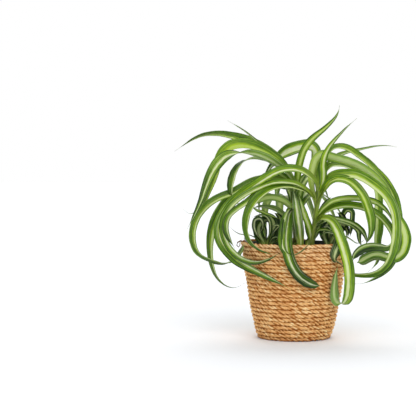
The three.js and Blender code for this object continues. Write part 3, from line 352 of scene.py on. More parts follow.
MIDDLE_CROWN_LEAVES = [
    # The long low arch whose tip is furthest left.
    leaf(LEFT, width=13, whip=0.8, tone=0.15, stripe=0.12, shift=-0.6, cream=0.3, path=[
        (-1, 197, 12, 0), (-6, 212, 13, 10), (-13, 224, 15, 25), (-24, 235, 18, 40), (-37, 244, 23, 50),
        (-52, 252, 29, 55), (-68, 258, 35, 60), (-84, 262, 41, 60), (-100, 264, 47, 55),
        (-116, 262.8, 53, 50), (-130, 257.8, 58, 45), (-143, 249.8, 63, 40), (-156, 241, 68, 40)]),
    # The thin straight tip above it.
    leaf(LEFT, width=9, taper=0.5, whip=0.85, stripe=0.12, cream=0.4, path=[
        (0, 198, 10, 0), (-6, 213, 8, 15), (-14, 225.5, 7, 30), (-23, 232.5, 8, 45), (-32, 239.5, 11, 50),
        (-41, 247, 15, 50), (-51, 256, 20, 45), (-63, 266, 27, 40), (-76, 274.5, 35, 40),
        (-87, 281, 42, 40)]),
    # The wide arch that turns down behind its neighbour and ends in a small curl.
    leaf(LEFT, width=16, taper=0.55, whip=1.3, tone=0.35, stripe=0.35, shift=-0.45, cream=0.05, path=[
        (-0.5, 197, 9, 0), (-8, 214, 2, 10), (-18, 228, -3, 25), (-30, 237.5, -8, 35), (-43, 244.5, -12, 45),
        (-57, 249.5, -16, 50), (-70, 251, -19, 55), (-82, 248.5, -22, 60), (-91, 241.5, -24, 60),
        (-97, 232, -26, 60), (-100, 221.5, -27, 60), (-103, 210, -28, 60), (-107, 198, -29, 60),
        (-111.5, 187, -29, 60), (-115.5, 177, -29, 55), (-121, 168, -28, 50), (-128.5, 162, -27, 50),
        (-137, 160.5, -26, 45), (-145, 166.5, -25, 40)]),
    # The widest arch at the left, with a bright stripe down to its tip.
    leaf(LEFT, width=15, whip=0.8, tone=0.1, stripe=0.16, shift=-0.1, cream=0.8, path=[
        (0, 199, 7, 0), (-10, 214, -4, -30), (-22, 223.5, -13, -40), (-36, 232, -21, -45),
        (-50, 237.5, -28, -40), (-64, 239.8, -34, -20), (-77, 239, -38, 20), (-88, 235.5, -42, 60),
        (-96, 229.5, -45, 75), (-103, 221, -47, 80), (-108.5, 211.5, -49, 80), (-113, 201, -51, 80),
        (-117, 190, -53, 80), (-120.5, 179, -55, 75), (-125, 168.5, -57, 70), (-130, 158, -58, 65),
        (-135, 148.5, -59, 60), (-139.5, 140, -60, 60)]),
    # The arch inside them, which hooks back under the lower leaves, darkened with painted shade.
    leaf(LEFT, width=11, tone=-0.4, shift=-0.7, path=[
        (0, 197, 10, 0), (-10, 212, 6, 0), (-24, 223, 2, -10), (-40, 230, -2, -20), (-54, 232, -7, -20),
        (-65, 229, -12, 10), (-73, 222.5, -18, 35), (-78.5, 214, -23, 55), (-81.5, 205, -28, 60),
        (-83.2, 196, -31, 60), (-83, 188, -30, 45), (-80.5, 181, -25, 25), (-77, 175.5, -18, 10),
        (-72.5, 173.5, -13, 0), (-67.5, 177, -10, 0), (-63, 183, -8, 0), (-59, 189, -7, 0)]),
    # The low arch that loops round under the left side and ends at the rim.
    leaf(LEFT, width=11, taper=0.85, whip=0.5, tip=4, tone=0.1, stripe=0.18, shift=-0.45, path=[
        (-1, 196, 8, 0), (-9, 201, 2, 10), (-20, 204, -5, 30), (-34, 205, -11, 45), (-48, 203.5, -16, 50),
        (-61, 199, -20, 55), (-72, 193, -23, 60), (-83, 187, -25, 60), (-94, 183, -28, 60),
        (-104, 178, -32, 60), (-113, 171.5, -35, 60), (-120.5, 163.5, -36, 60), (-126.5, 154.5, -36, 60),
        (-130.5, 144, -34, 60), (-132.2, 133, -31, 60), (-131.3, 122, -28, 55), (-127.5, 112.5, -26, 45),
        (-121, 105.5, -25, 30), (-112, 101, -24, 30), (-102, 97.5, -23, 30), (-93, 95.5, -20, 20),
        (-85, 97, -17, 0), (-78, 101.5, -17, -30), (-72.5, 108, -22, -50), (-68, 115, -29, -60),
        (-65, 120.5, -34, -60)]),
    # The long leaf that hangs lowest at the left, with a thin tip that reaches the basket.
    leaf(LEFT, width=13, taper=0.55, whip=1.3, stripe=0.25, shift=-0.5, cream=0.6, path=[
        (-2, 197, 4, 0), (-12, 203, -1, 20), (-26, 206, -4, 35), (-41, 205.5, -6, 45), (-55, 201.5, -7, 50),
        (-68, 194, -6, 60), (-79, 185, -4, 65), (-89, 175, -1, 70), (-97, 163.5, 2, 75),
        (-103, 151.5, 5, 80), (-107.2, 139, 7, 80), (-109.3, 126.5, 8, 80), (-109.8, 114, 9, 80),
        (-108.8, 101.5, 10, 80), (-106.3, 90, 12, 75), (-102, 79.5, 14, 60), (-95, 71, 16, 50),
        (-86.5, 65.5, 18, 40), (-78, 64, 20, 30), (-69.5, 67, 22, 30), (-63, 71, 24, 30)]),
    # The twisted leaf that stands highest.
    leaf(RIGHT, width=10, tone=0.15, shift=0.1, cream=0.25, path=[
        (2, 192, 10, 20), (3.8, 206, 6, 60), (5, 218, 3, 75), (7.5, 230, 1, 80), (11.5, 242, -1, 80),
        (18, 252.5, -3, 80), (27, 261.5, -5, 80), (37, 269.5, -6, 80), (46, 278, -7, 80),
        (52.5, 285.5, -7, 75), (56, 292.5, -7, 70), (57.5, 300.5, -7, 60)]),
    # Short pale leaves that fill the crown behind the loops.
    leaf(LEFT, width=13, whip=0.8, tone=0.2, stripe=0.4, cream=0.4, path=[
        (-3.5, 191, 13, 20), (-7, 199, 17, 45), (-12, 206, 20, 60), (-18.5, 211.5, 22, 70),
        (-26, 215.5, 23, 70), (-33, 217.5, 24, 60)]),
    leaf(RIGHT, width=12, whip=0.8, tone=0.1, stripe=0.35, cream=0.4, path=[
        (1.5, 191, 13, 10), (4.5, 198, 16, 40), (8, 204, 18, 60), (12, 209.5, 20, 70), (17, 214, 21, 70)]),
    leaf(LEFT, width=12, whip=0.8, tone=0.1, stripe=0.35, cream=0.3, path=[
        (-5, 190, 14, 20), (-11, 194.5, 18, 50), (-18, 196.5, 21, 65), (-25, 196.5, 23, 70),
        (-32, 195, 24, 60)]),
]

RIGHT_CROWN_LEAVES = [
    # The great loop in front, which comes down over the left of the rim.
    leaf(LEFT, width=13, whip=0.9, tone=0.1, stripe=0.14, shift=-0.75, cream=0.6, path=[
        (27, 170, -10, 0), (23, 182, -16, 15), (15, 190.5, -24, 30), (5, 195.5, -31, 45), (-6, 198, -37, 50),
        (-17, 198, -42, 50), (-28, 195.5, -47, 50), (-38.5, 190, -51, 50), (-48, 182, -55, 50),
        (-56, 171.5, -58, 50), (-61.5, 159.5, -61, 50), (-63.5, 147, -63, 50), (-62.5, 135, -64, 50),
        (-58, 124.5, -65, 45), (-50.5, 116.8, -66, 40), (-41, 111.5, -68, 40), (-31, 108.6, -70, 40),
        (-21, 107.5, -73, 40)]),
    # The larger loop above it, which comes back to lie along the basket.
    leaf(LEFT, width=13, taper=0.75, whip=0.8, tone=0.2, stripe=0.2, shift=-0.25, cream=0.9, path=[
        (29, 172, -9, 0), (31.5, 186, -13, 10), (28, 199, -19, 20), (20, 209, -25, 35), (9.5, 216, -31, 45),
        (-2, 218.8, -36, 50), (-14, 218, -39, 50), (-26, 213.8, -41, 50), (-38, 207, -42, 50),
        (-50, 199, -42, 50), (-61, 191.5, -40, 50), (-72, 183.5, -37, 55), (-82, 174, -34, 60),
        (-90, 163, -31, 65), (-95.8, 151.5, -28, 70), (-98.5, 139.5, -27, 75), (-97, 127.5, -27, 75),
        (-91.5, 117, -28, 75), (-84, 108, -30, 75), (-75.5, 100.3, -34, 75), (-66, 93.8, -41, 75),
        (-55.5, 88, -50, 75), (-44.5, 82.5, -58, 75), (-33.5, 77, -63.5, 75), (-22.5, 71.7, -66.5, 75),
        (-12.5, 66.6, -68, 75), (-3.5, 62, -68.5, 75)]),
    # The narrow loop beside it, whose striped end crosses the basket.
    leaf(LEFT, width=9, taper=0.8, whip=0.8, tone=-0.1, shift=-0.3, cream=0.8, path=[
        (26.5, 169, -11, 0), (21.5, 184, -18, 15), (12, 194, -27, 30), (1, 199.8, -34, 45),
        (-11, 202, -39, 50), (-23, 201.8, -43, 50), (-35, 199, -46, 50), (-47, 194, -48, 50),
        (-58, 188.5, -48, 50), (-69, 181.8, -47, 50), (-79, 173.5, -45, 55), (-87, 163.5, -43, 60),
        (-92, 152.5, -41, 65), (-93.3, 141, -40, 70), (-91.3, 130, -40, 70), (-87, 119.8, -41, 70),
        (-80.5, 111, -42, 70), (-72.5, 104, -44, 65), (-63, 99.3, -48, 60), (-52.5, 97.2, -54.5, 55),
        (-42, 98.3, -61, 50), (-32.5, 101.7, -66.5, 50), (-24, 106.5, -70.5, 50), (-16.5, 111.5, -73, 50)]),
    # The pale loop inside it.
    leaf(LEFT, width=10, taper=0.85, whip=0.6, tone=-0.2, stripe=0.35, shift=-0.4, cream=0.6, path=[
        (27.5, 168, -9, 0), (24, 181, -14, 15), (17, 190, -20, 25), (7, 196, -28, 35), (-5, 199.5, -33, 45),
        (-17, 200, -38, 45), (-28.5, 198, -42, 45), (-39, 193.5, -46, 45), (-48, 187.5, -49, 45),
        (-56, 180.5, -51, 45), (-63.5, 174.3, -52, 45), (-71.5, 168.8, -52, 45), (-79.5, 163, -51, 50),
        (-86, 156, -50, 55), (-89, 147.5, -50, 60), (-88.8, 138.5, -50, 60), (-86, 130, -50, 60),
        (-81.5, 122, -51, 60), (-77, 114.5, -52, 60)]),
    # The broad leaf behind that folds over the middle crown to the left.
    leaf(LEFT, width=17, taper=0.65, stripe=0.38, shift=-0.1, cream=0.95, path=[
        (29, 190, -2, 20), (26.5, 205, 6, 40), (25, 219, 12, 50), (26.5, 232, 16, 50), (26, 243, 19, 50),
        (19, 248.5, 21, 60), (9, 247.5, 23, 70), (-1, 245, 25, 75), (-10.5, 241, 26, 75),
        (-18.5, 235.5, 26, 70), (-26, 227.5, 25, 60), (-33, 218.5, 22, 50), (-38, 209, 18, 45),
        (-41, 200, 14, 40)]),
    # The upright leaf with a thin straight tip.
    leaf(RIGHT, width=11, taper=0.55, whip=0.9, tone=0.1, stripe=0.25, cream=0.7, path=[
        (28.5, 172, -12, 0), (32, 186, -15, 30), (36, 199, -17, 50), (37.5, 212, -18, 55),
        (37, 224, -18, 55), (39, 235, -18, 55), (44, 245.5, -18, 50), (51, 255, -18, 50), (59, 264, -17, 50),
        (68, 273.3, -16, 50), (80, 284, -15, 50)]),
    # The highest arch to the right, which drops behind that side and trails off low in a thin tip.
    leaf(RIGHT, width=12, taper=0.78, whip=1.2, tone=0.1, stripe=0.15, shift=0.5, cream=0.4, path=[
        (30, 172, -8, 0), (35, 186, -5, 20), (39, 199, -1, 30), (40, 212, 3, 30), (39.5, 224, 7, 25),
        (42, 235.5, 10, 20), (48.5, 244.5, 13, 30), (58, 247.3, 17, 40), (68, 245.3, 20, 45),
        (77.5, 239.3, 23, 45), (87, 232.5, 26, 45), (96, 225, 29, 45), (104, 217, 32, 45),
        (112, 209, 35, 45), (119, 200.5, 37, 45), (125, 191, 38, 45), (129.5, 181, 38, 45),
        (132.5, 170, 38, 45), (134, 158, 37, 50), (134, 146, 36, 50), (133.5, 134, 34, 55),
        (132.5, 122, 32, 60), (130, 110, 29, 60), (126, 99, 26, 60), (120.5, 90, 23, 60), (113, 83, 20, 60),
        (104.5, 77.7, 17, 60), (95.5, 73, 14, 60), (86.5, 70.2, 11, 60), (77.5, 69.8, 8, 60)]),
    # The thin tip that reaches out level behind it.
    leaf(RIGHT, width=11, taper=0.45, whip=1.3, stripe=0.1, cream=0.4, path=[
        (30, 171, -4, 0), (33, 188, 5, 0), (36, 204, 14, 10), (40, 217, 21, 20), (46.5, 228, 28, 30),
        (55.5, 235.3, 34, 35), (66, 239.5, 40, 40), (78, 242.3, 46, 40), (90.5, 245, 52, 40),
        (103, 247.6, 58, 40), (115, 248.5, 63, 40), (124, 248, 66, 40), (131, 246.5, 69, 40)]),
    # The arch that shows its pale underside, then makes the furthest loop at the right.
    leaf(RIGHT, width=14, taper=0.95, whip=0.6, tip=7, tone=0.1, stripe=0.45, shift=0.1, path=[
        (29, 172, -8, 0), (25, 189, -6, -30), (22.5, 205, -4, -60), (24, 219, -1, -75),
        (28.5, 231.5, 1, -70), (36, 236.5, 2, -65), (46, 233.5, 3, -65), (57, 230.5, 4, -65),
        (68, 227.3, 4, -65), (79, 223, 3, -65), (89.5, 217.3, 1, -60), (99, 210.3, -1, -55),
        (107.5, 202.5, -4, -50), (115.5, 194, -7, -40), (122, 184.5, -10, -20), (127, 174, -13, 10),
        (130.5, 164, -16, 30), (134, 154.5, -18, 40), (138.5, 146, -20, 55), (142, 137, -21, 65),
        (143.5, 127.5, -21, 70), (142, 118, -21, 70), (138.5, 110, -21, 65), (133, 105, -22, 60),
        (126, 103.5, -25, 60), (117, 105.5, -29, 60), (108, 107.8, -33, 70), (99, 106.5, -37, 75),
        (91, 102.5, -40, 80), (85, 99, -42, 80), (80.5, 97.3, -43, 75)]),
    # The arch under it that drops behind the right side.
    leaf(RIGHT, width=12, taper=0.75, whip=0.9, tone=0.1, stripe=0.35, shift=0.5, path=[
        (29.5, 171, -8, 0), (34, 187, -4, 0), (37, 202, 1, 10), (40, 214, 6, 20), (46.5, 222, 10, 30),
        (57, 224, 14, 35), (68, 222, 17, 35), (79, 218, 20, 35), (89.5, 212.3, 23, 40),
        (98.5, 204.5, 25, 45), (104.8, 195, 27, 50), (107.8, 184, 28, 60), (108, 172.5, 28, 70),
        (107.8, 161, 27, 70), (108.8, 150, 25, 75), (108.3, 139, 22, 75), (107, 128, 18, 70),
        (107.3, 117, 14, 70), (108, 107, 10, 65), (106, 98, 7, 60), (100.8, 90.8, 5, 60),
        (94.5, 85, 4, 60)]),
    # The bright wide loop round the right side.
    leaf(RIGHT, width=14, taper=0.7, whip=0.5, tip=6, tone=0.3, shift=0.55, cream=0.6, path=[
        (30, 172, -13, 0), (35.5, 186, -16, 15), (40, 198, -19, 30), (46, 207.5, -22, 40),
        (55, 211.5, -25, 50), (66, 212.3, -29, 55), (77, 211.8, -33, 60), (88, 207.8, -37, 60),
        (98, 201.5, -41, 60), (107.5, 194.5, -45, 60), (116, 186.5, -49, 60), (123, 176.8, -53, 60),
        (127.8, 165.5, -56, 60), (130.3, 153.5, -58, 60), (131, 141, -59, 60), (130.3, 128.5, -59, 60),
        (128, 116, -58, 60), (124.2, 104, -56, 60), (118.5, 94, -53, 60), (110.5, 86.5, -49, 60),
        (100.5, 82.3, -44, 60), (89.5, 81, -38, 60), (79, 81.5, -33, 60), (71, 83.5, -29, 60)]),
    # The inner arch in front, which drops to the rolled ends.
    leaf(RIGHT, width=13, taper=0.75, tone=0.1, stripe=0.14, shift=0.1, cream=0.25, path=[
        (30.5, 170, -14, 0), (34, 182, -18, 20), (38.5, 193, -22, 35), (45, 201.5, -26, 45),
        (54, 205.8, -31, 50), (64, 205, -35, 55), (73, 200.8, -39, 60), (81, 193.5, -43, 65),
        (87.5, 184.5, -46, 70), (92.5, 174.3, -48, 70), (96.3, 163.5, -49, 70), (98.6, 152.5, -49, 70),
        (99, 141.5, -47, 70), (97, 131.5, -43, 60), (92.8, 123.5, -37, 40), (87.5, 117.5, -31, 20)]),
    # Two arches side by side, low at the right. The lower one rolls back under.
    leaf(RIGHT, width=10, taper=0.75, cream=0.4, path=[
        (27, 152, -16, 0), (32, 161, -18, 20), (39, 169.3, -20, 35), (48, 175.8, -21, 45),
        (59, 179.3, -21, 50), (71, 180.5, -20, 50), (83, 180, -18, 50), (94, 178.5, -16, 50),
        (104, 175.3, -13, 50), (112.5, 170, -9, 50), (119.5, 163, -5, 50), (124, 155, -1, 45),
        (126.5, 147, 3, 40)]),
    leaf(RIGHT, width=12, taper=0.9, whip=0.5, tip=5, tone=-0.3, stripe=0.2, shift=0.4, cream=0.6, path=[
        (26.5, 146, -15, 0), (31, 154.5, -17, 20), (38, 162, -19, 35), (47.5, 167.8, -20, 45),
        (58.5, 171, -21, 50), (70, 171.8, -22, 50), (81.5, 170.3, -22, 50), (92.5, 167.3, -22, 50),
        (102.5, 162.5, -22, 50), (111.5, 156, -22, 50), (119, 148, -22, 50), (124.5, 139, -23, 50),
        (127, 129.5, -26, 45), (125, 121, -31, 40), (118.5, 117, -37, 45), (110, 118, -43, 55),
        (100.5, 118.5, -48, 65), (91.5, 117, -51, 70), (83.5, 112.5, -53, 75), (78, 106.5, -53, 75),
        (75.5, 100.5, -52, 70)]),
    # The short leaves under those arches.
    leaf(RIGHT, width=9, taper=0.8, tone=-0.4, stripe=0.25, shift=-0.1, cream=0.6, path=[
        (26, 141, -12, 0), (31, 150, -12, 10), (40, 155, -11, 20), (51, 154.8, -10, 30), (62, 152.3, -9, 40),
        (72.5, 149, -8, 45), (81.5, 143.5, -7, 50), (88.5, 136, -7, 50), (92.5, 127, -8, 50),
        (93.3, 118, -10, 45)]),
    leaf(RIGHT, width=9, taper=0.7, whip=0.8, tone=-0.6, stripe=0.25, path=[
        (26, 138, -6, 0), (33, 147, -2, 10), (43, 151.5, 2, 20), (55, 151, 5, 30), (66.5, 148, 8, 35),
        (76.5, 144, 10, 50), (82, 138, 11, 60), (83, 130, 11, 70), (84.5, 123, 10, 70), (88.5, 117, 9, 60)]),
    leaf(RIGHT, width=6, tone=-0.3, cream=0.4, path=[
        (26, 132, -13, 0), (31, 138.5, -16, 20), (39, 140, -19, 40), (47, 138, -22, 50),
        (53, 133, -24, 50)]),
    # The front leaf at the right, which hangs low, folds under and points up again.
    leaf(RIGHT, width=14, taper=0.78, tone=0.05, stripe=0.26, shift=0.2, cream=0.7, path=[
        (27, 147, -15, 0), (32.5, 153.5, -22, 20), (40.5, 154.3, -31, 40), (48.5, 149.8, -40, 55),
        (54, 141, -48, 70), (58.5, 130.5, -53, 75), (62.5, 119.5, -56, 80), (66, 108, -57, 80),
        (69, 96.5, -57, 80), (70.7, 84.5, -56, 80), (71.2, 72.5, -54, 80), (70.5, 61, -53, 80),
        (68.5, 51, -50, 70), (65, 45, -47, 40), (60.5, 43.5, -43.5, 0), (56, 46, -42.5, -40),
        (53, 52, -44, -70), (52, 60.5, -46, -80), (52.3, 70, -48, -80), (53.3, 79.5, -50, -80),
        (55, 89, -52, -75), (56.7, 96, -54, -70)]),
    # The short upright leaf between this crown and the front one.
    leaf(LEFT, width=9, cream=0.6, path=[
        (21, 128, -13, 60), (18, 145, -16, 70), (13, 158, -18, 75), (9.5, 170, -19, 75), (6.5, 181, -17, 70),
        (4, 191, -13, 60)]),
    # A shorter one beside it, and one behind that leans to the right.
    leaf(LEFT, width=10, whip=0.8, tone=-0.1, path=[
        (20.5, 128, -9, 60), (18.5, 138, -9, 70), (16.5, 148, -8, 75), (12.5, 157, -8, 75),
        (7.5, 163, -8, 70)]),
    leaf(RIGHT, width=11, whip=0.8, tone=-0.5, shift=0.2, path=[
        (25, 128, -1, 40), (29, 140, 3, 60), (32.5, 152, 6, 70), (35, 164, 8, 70), (40, 175, 9, 65),
        (48, 183, 9, 60)]),
]

FRONT_CROWN_LEAVES = [
    # The upright leaf in front, with a wide white stripe.
    leaf(RIGHT, width=12, taper=0.55, whip=0.8, tone=-0.35, stripe=0.2, shift=0.05, cream=1, path=[
        (8, 126, -27.5, 80), (7, 133, -28, 85), (6.2, 141, -29, 90), (4.9, 150, -29.5, 90),
        (3.5, 160, -29.5, 90), (2, 170, -28.5, 90), (0.4, 180, -26, 85), (-1.3, 187.5, -22.5, 70),
        (-3.5, 195, -19, 50)]),
    # The leaf that hangs over the front of the rim and lies round the basket.
    leaf(LEFT, width=14, taper=0.9, whip=0.5, tip=8, tone=-0.35, stripe=0.13, shift=0.1, cream=0.9, path=[
        (7, 128, -23, -60), (5.5, 138, -20, -75), (3, 149, -18, -75), (0.5, 158.5, -18.5, -60),
        (-2.5, 164.5, -22, -20), (-5.8, 162, -29, 25), (-8, 154, -37.5, 55), (-9.5, 144, -49, 75),
        (-10.3, 133.5, -62, 85), (-10.3, 123.5, -72.5, 90), (-9, 113, -76.5, 90), (-6.3, 102, -75, 90),
        (-1.8, 91.5, -73, 90), (4.5, 82, -71, 90), (13, 74.3, -68, 90), (23, 69, -65, 90),
        (33, 66.5, -61.5, 85)]),
    # Its narrow neighbour, whose tip curls up again in front of the rim.
    leaf(LEFT, width=10, taper=0.55, tone=-0.2, stripe=0.2, cream=0.7, path=[
        (6, 127, -19, -60), (4, 139, -16, -75), (1, 151, -14.5, -70), (-2, 161, -16, -50),
        (-5.8, 166, -21, -10), (-9.5, 162.5, -28, 30), (-12.5, 154, -36, 55), (-14.8, 144.5, -47, 75),
        (-16.2, 134.5, -60, 80), (-16.4, 125.5, -71.5, 80), (-15, 116.5, -77, 75), (-11, 109.5, -76.5, 50),
        (-4.5, 106.5, -75.5, 20), (2.5, 108.3, -75, 20), (9.5, 112.6, -75, 30), (15.5, 118, -74, 30),
        (20.5, 123.3, -72, 30), (25, 128.5, -68, 30)]),
    # The pale leaf that goes left and hooks back.
    leaf(LEFT, width=9, taper=0.75, tone=0.3, stripe=0.5, cream=0.3, path=[
        (4, 130, -16, 0), (3, 142, -12, -10), (1, 155, -11, -30), (-4, 167, -14, -50),
        (-12, 175.5, -19, -75), (-22.5, 180.5, -25, -80), (-33.5, 181.5, -30, -80), (-43.5, 178.5, -35, -60),
        (-51, 174, -39, -20), (-53.5, 169.5, -40, 0), (-49.5, 166, -40, 20), (-42, 163.3, -38, 40),
        (-33, 159.5, -35, 50), (-24, 155.5, -31, 50), (-15.5, 152.5, -27, 50)]),
    # The broad leaf under it, darkened with painted shade.
    leaf(LEFT, width=13, tone=-0.5, path=[
        (3, 128, -12, 0), (0, 138, -8, 0), (-6, 149, -5, -10), (-15, 159.5, -6, -30), (-26, 166.5, -9, -40),
        (-37, 169.5, -13, -40), (-47, 169.5, -17, -40), (-55, 167, -21, -40)]),
]

LEFT_OFFSET_LEAVES = [
    leaf(LEFT, width=8, tone=-0.7, stripe=0.25, cream=0.6, path=[
        (-35, 124, -15, 0), (-33, 131, -16, 20), (-31.5, 139, -17, 40), (-31.7, 148, -18, 40),
        (-35, 155, -19, 40), (-41, 158.5, -20, 40), (-48.5, 157.5, -22, 40), (-55, 155.5, -24, 40)]),
    leaf(RIGHT, width=8, taper=0.7, tone=-0.5, cream=0.7, path=[
        (-40, 122, -16, 0), (-45, 128, -20, 20), (-50, 136, -24, 40), (-52.5, 145, -27, 40),
        (-50.5, 152.5, -28, 40), (-44.5, 153.5, -27, 40), (-41, 147.5, -25, 40), (-42.5, 139.5, -23, 40),
        (-46.5, 133.5, -21, 40)]),
    leaf(LEFT, width=8, tone=-0.8, stripe=0.25, path=[
        (-38, 124, -7, 0), (-37.5, 132, -5, 20), (-39.5, 142, -4, 40), (-45, 149, -5, 40),
        (-52, 148, -8, 40), (-56, 141, -11, 40)]),
    leaf(RIGHT, width=8, tone=-0.6, stripe=0.25, path=[
        (-34, 122, -8, 0), (-30, 130, -5, 0), (-25, 139, -4, 20), (-18.5, 144.5, -6, 30), (-13, 141, -9, 30),
        (-11, 134, -11, 30)]),
    leaf(RIGHT, width=7, tone=-0.6, stripe=0.25, path=[
        (-33.5, 122, -14, 0), (-31, 126, -16, 10), (-28, 129, -18, 20), (-23, 130, -23, 30),
        (-18, 126.5, -27, 30)]),
    # Broad leaves, darkened with painted shade, that make the offset a dense tangle.
    leaf(LEFT, width=13, taper=0.7, whip=0.7, tone=-0.6, stripe=0.25, shift=0.2, path=[
        (-41, 122, -10, 60), (-46, 131, -11, 75), (-47.5, 141, -12, 80), (-44, 149, -13, 80),
        (-37, 152.5, -13, 70), (-31, 149, -12, 60)]),
    leaf(RIGHT, width=12, taper=0.7, whip=0.7, tone=-0.8, shift=-0.2, cream=0.4, path=[
        (-33, 122, -1, 60), (-28, 131, 2, 75), (-25.5, 141, 4, 80), (-27, 151, 5, 80), (-33, 158, 5, 70),
        (-41, 159, 4, 60)]),
    leaf(RIGHT, width=11, taper=0.7, whip=0.7, tone=-0.7, cream=0.4, path=[
        (-31, 121, 1, 60), (-23, 127, 4, 70), (-18, 137, 7, 80), (-17, 148, 8, 80), (-20, 157, 9, 70),
        (-27, 162, 9, 60)]),
    leaf(LEFT, width=6, tone=-0.5, path=[
        (-30, 121, -18, 0), (-24, 126, -21, 20), (-19, 132, -23, 40), (-17.5, 139, -24, 50),
        (-21, 145, -25, 50), (-27, 144.5, -26, 50), (-29.5, 138, -27, 50)]),
    # The leaf whose tip points up outside the rim.
    leaf(LEFT, width=6, taper=0.4, tone=-0.3, stripe=0.15, path=[
        (-41, 121, -4, 0), (-50, 128.5, 2, 0), (-60, 133, 7, 0), (-69.5, 133.3, 10, 20),
        (-77, 136.8, 12, 20), (-84.5, 144, 14, 20)]),
]

RIGHT_OFFSET_LEAVES = [
    leaf(RIGHT, width=9, taper=0.75, whip=0.8, tone=-0.5, stripe=0.2, shift=0.2, cream=0.3, path=[
        (46, 124, 2, 0), (51, 134, 9, 10), (56, 146, 16, 30), (61.5, 157.5, 20, 50), (67.5, 165.5, 21, 50),
        (73.5, 163, 21, 50), (74, 154, 20, 50), (73, 145, 19, 50), (72, 136.5, 18, 50),
        (71.5, 130.5, 17, 50)]),
    # The thin tip that trails over the rim.
    leaf(RIGHT, width=5, taper=0.3, tone=-0.2, stripe=0.2, cream=0.6, path=[
        (49, 121, -5, 0), (57, 127, -8, 20), (66, 130.5, -11, 30), (73.5, 126.5, -13, 30),
        (80, 122.5, -14, 30), (86, 124, -15, 30), (91, 127.5, -16, 30)]),
    # The small hook.
    leaf(LEFT, width=5, taper=0.8, stripe=0.45, cream=0.6, path=[
        (48, 122, -12, 0), (52.5, 127.5, -16, 10), (52.5, 132.5, -19, 20), (47, 135.5, -22, 20),
        (40.5, 136, -24, 20), (36, 132.8, -25, 20), (35.5, 127, -26, 20)]),
    leaf(LEFT, width=6, taper=0.7, tone=-0.5, stripe=0.25, path=[
        (45, 123, -8, 0), (47, 132, -9, 10), (46.5, 140.5, -10, 20), (40, 144.5, -12, 20),
        (34.5, 141, -13, 20)]),
    # Broad leaves behind them, darkened with painted shade.
    leaf(RIGHT, width=12, taper=0.7, whip=0.7, tone=-0.6, stripe=0.22, path=[
        (47, 122, -1, 50), (53, 131, 5, 70), (58.5, 140, 12, 80), (62, 149.5, 17, 80), (61, 158, 18, 80),
        (54, 162.5, 18, 70)]),
    leaf(LEFT, width=11, taper=0.7, whip=0.7, tone=-0.6, stripe=0.25, path=[
        (42, 122, -3, 50), (38.5, 131, 2, 70), (39, 141, 9, 80), (44.5, 149, 14, 80), (52.5, 152, 16, 75)]),
    leaf(RIGHT, width=11, taper=0.7, whip=0.8, tone=-0.9, stripe=0.25, cream=0.4, path=[
        (45, 121, 3, 30), (44, 131, 8, 60), (47, 141, 12, 75), (55, 147.5, 14, 75), (63, 146, 14, 75),
        (68, 138.5, 13, 70), (69, 129, 12, 60)]),
    leaf(LEFT, width=10, taper=0.7, whip=0.8, tone=-0.9, stripe=0.25, cream=0.4, path=[
        (42, 121, 4, 30), (37, 131, 10, 60), (35, 142, 15, 75), (38, 152, 18, 75), (45, 157.5, 19, 70),
        (53, 155, 19, 60)]),
    # The leaf that comes over the rim in the right front and doubles back.
    leaf(LEFT, width=13, tone=-0.7, stripe=0.22, path=[
        (49, 122, -9, 0), (54, 131, -18, 20), (57.5, 134, -31, 40), (58.5, 130, -44, 60),
        (56.5, 120, -51.5, 75), (53.5, 112, -54, 75), (51.5, 105, -55, 55), (52.5, 99.8, -54.5, 30),
        (56.5, 98, -52, 20), (61.5, 94, -48, 30), (65.5, 87, -44.5, 30)]),
]

# The back crown's leaves: drawn to the right in an upright plane, then turned to their own bearings.
BACK_LENGTH_SPREAD = 0.16
BACK_WIDTH_SPREAD = 0.1
BACK_LEAN = 24
BACK_TAPER = dict(taper=0.55, whip=1.2)
BACK_LOOKS = dict(tone=(-0.4, 0.5), stripe=(0.14, 0.34), shift=(-0.25, 0.25), cream=(0.2, 0.8))
BACK_TIERS = [
    # Long leaves that hang down behind the basket.
    dict(bearings=(40, 61, 79, 95, 112, 129, 147), width=11, path=[
        (2, 140, 0, 0), (7, 158, 0, 0), (17, 176, 1, 5), (32, 187, 2, 10), (50, 189, 2, 15),
        (67, 182, 1, 20), (81, 168, -2, 25), (90, 150, -6, 30), (94, 130, -8, 30), (91, 111, -6, 20),
        (82, 97, 0, 10), (71, 93, 5, 0)]),
    # Shorter leaves that stand higher over the crown.
    dict(bearings=(52, 86, 118, 150), width=12, path=[
        (1, 140, 0, 0), (3, 160, 0, 0), (8, 180, 1, 5), (17, 197, 2, 10), (31, 207, 2, 15),
        (46, 205, 1, 20), (58, 195, -2, 25), (66, 180, -5, 30), (69, 163, -6, 30), (66, 149, -4, 30)]),
]
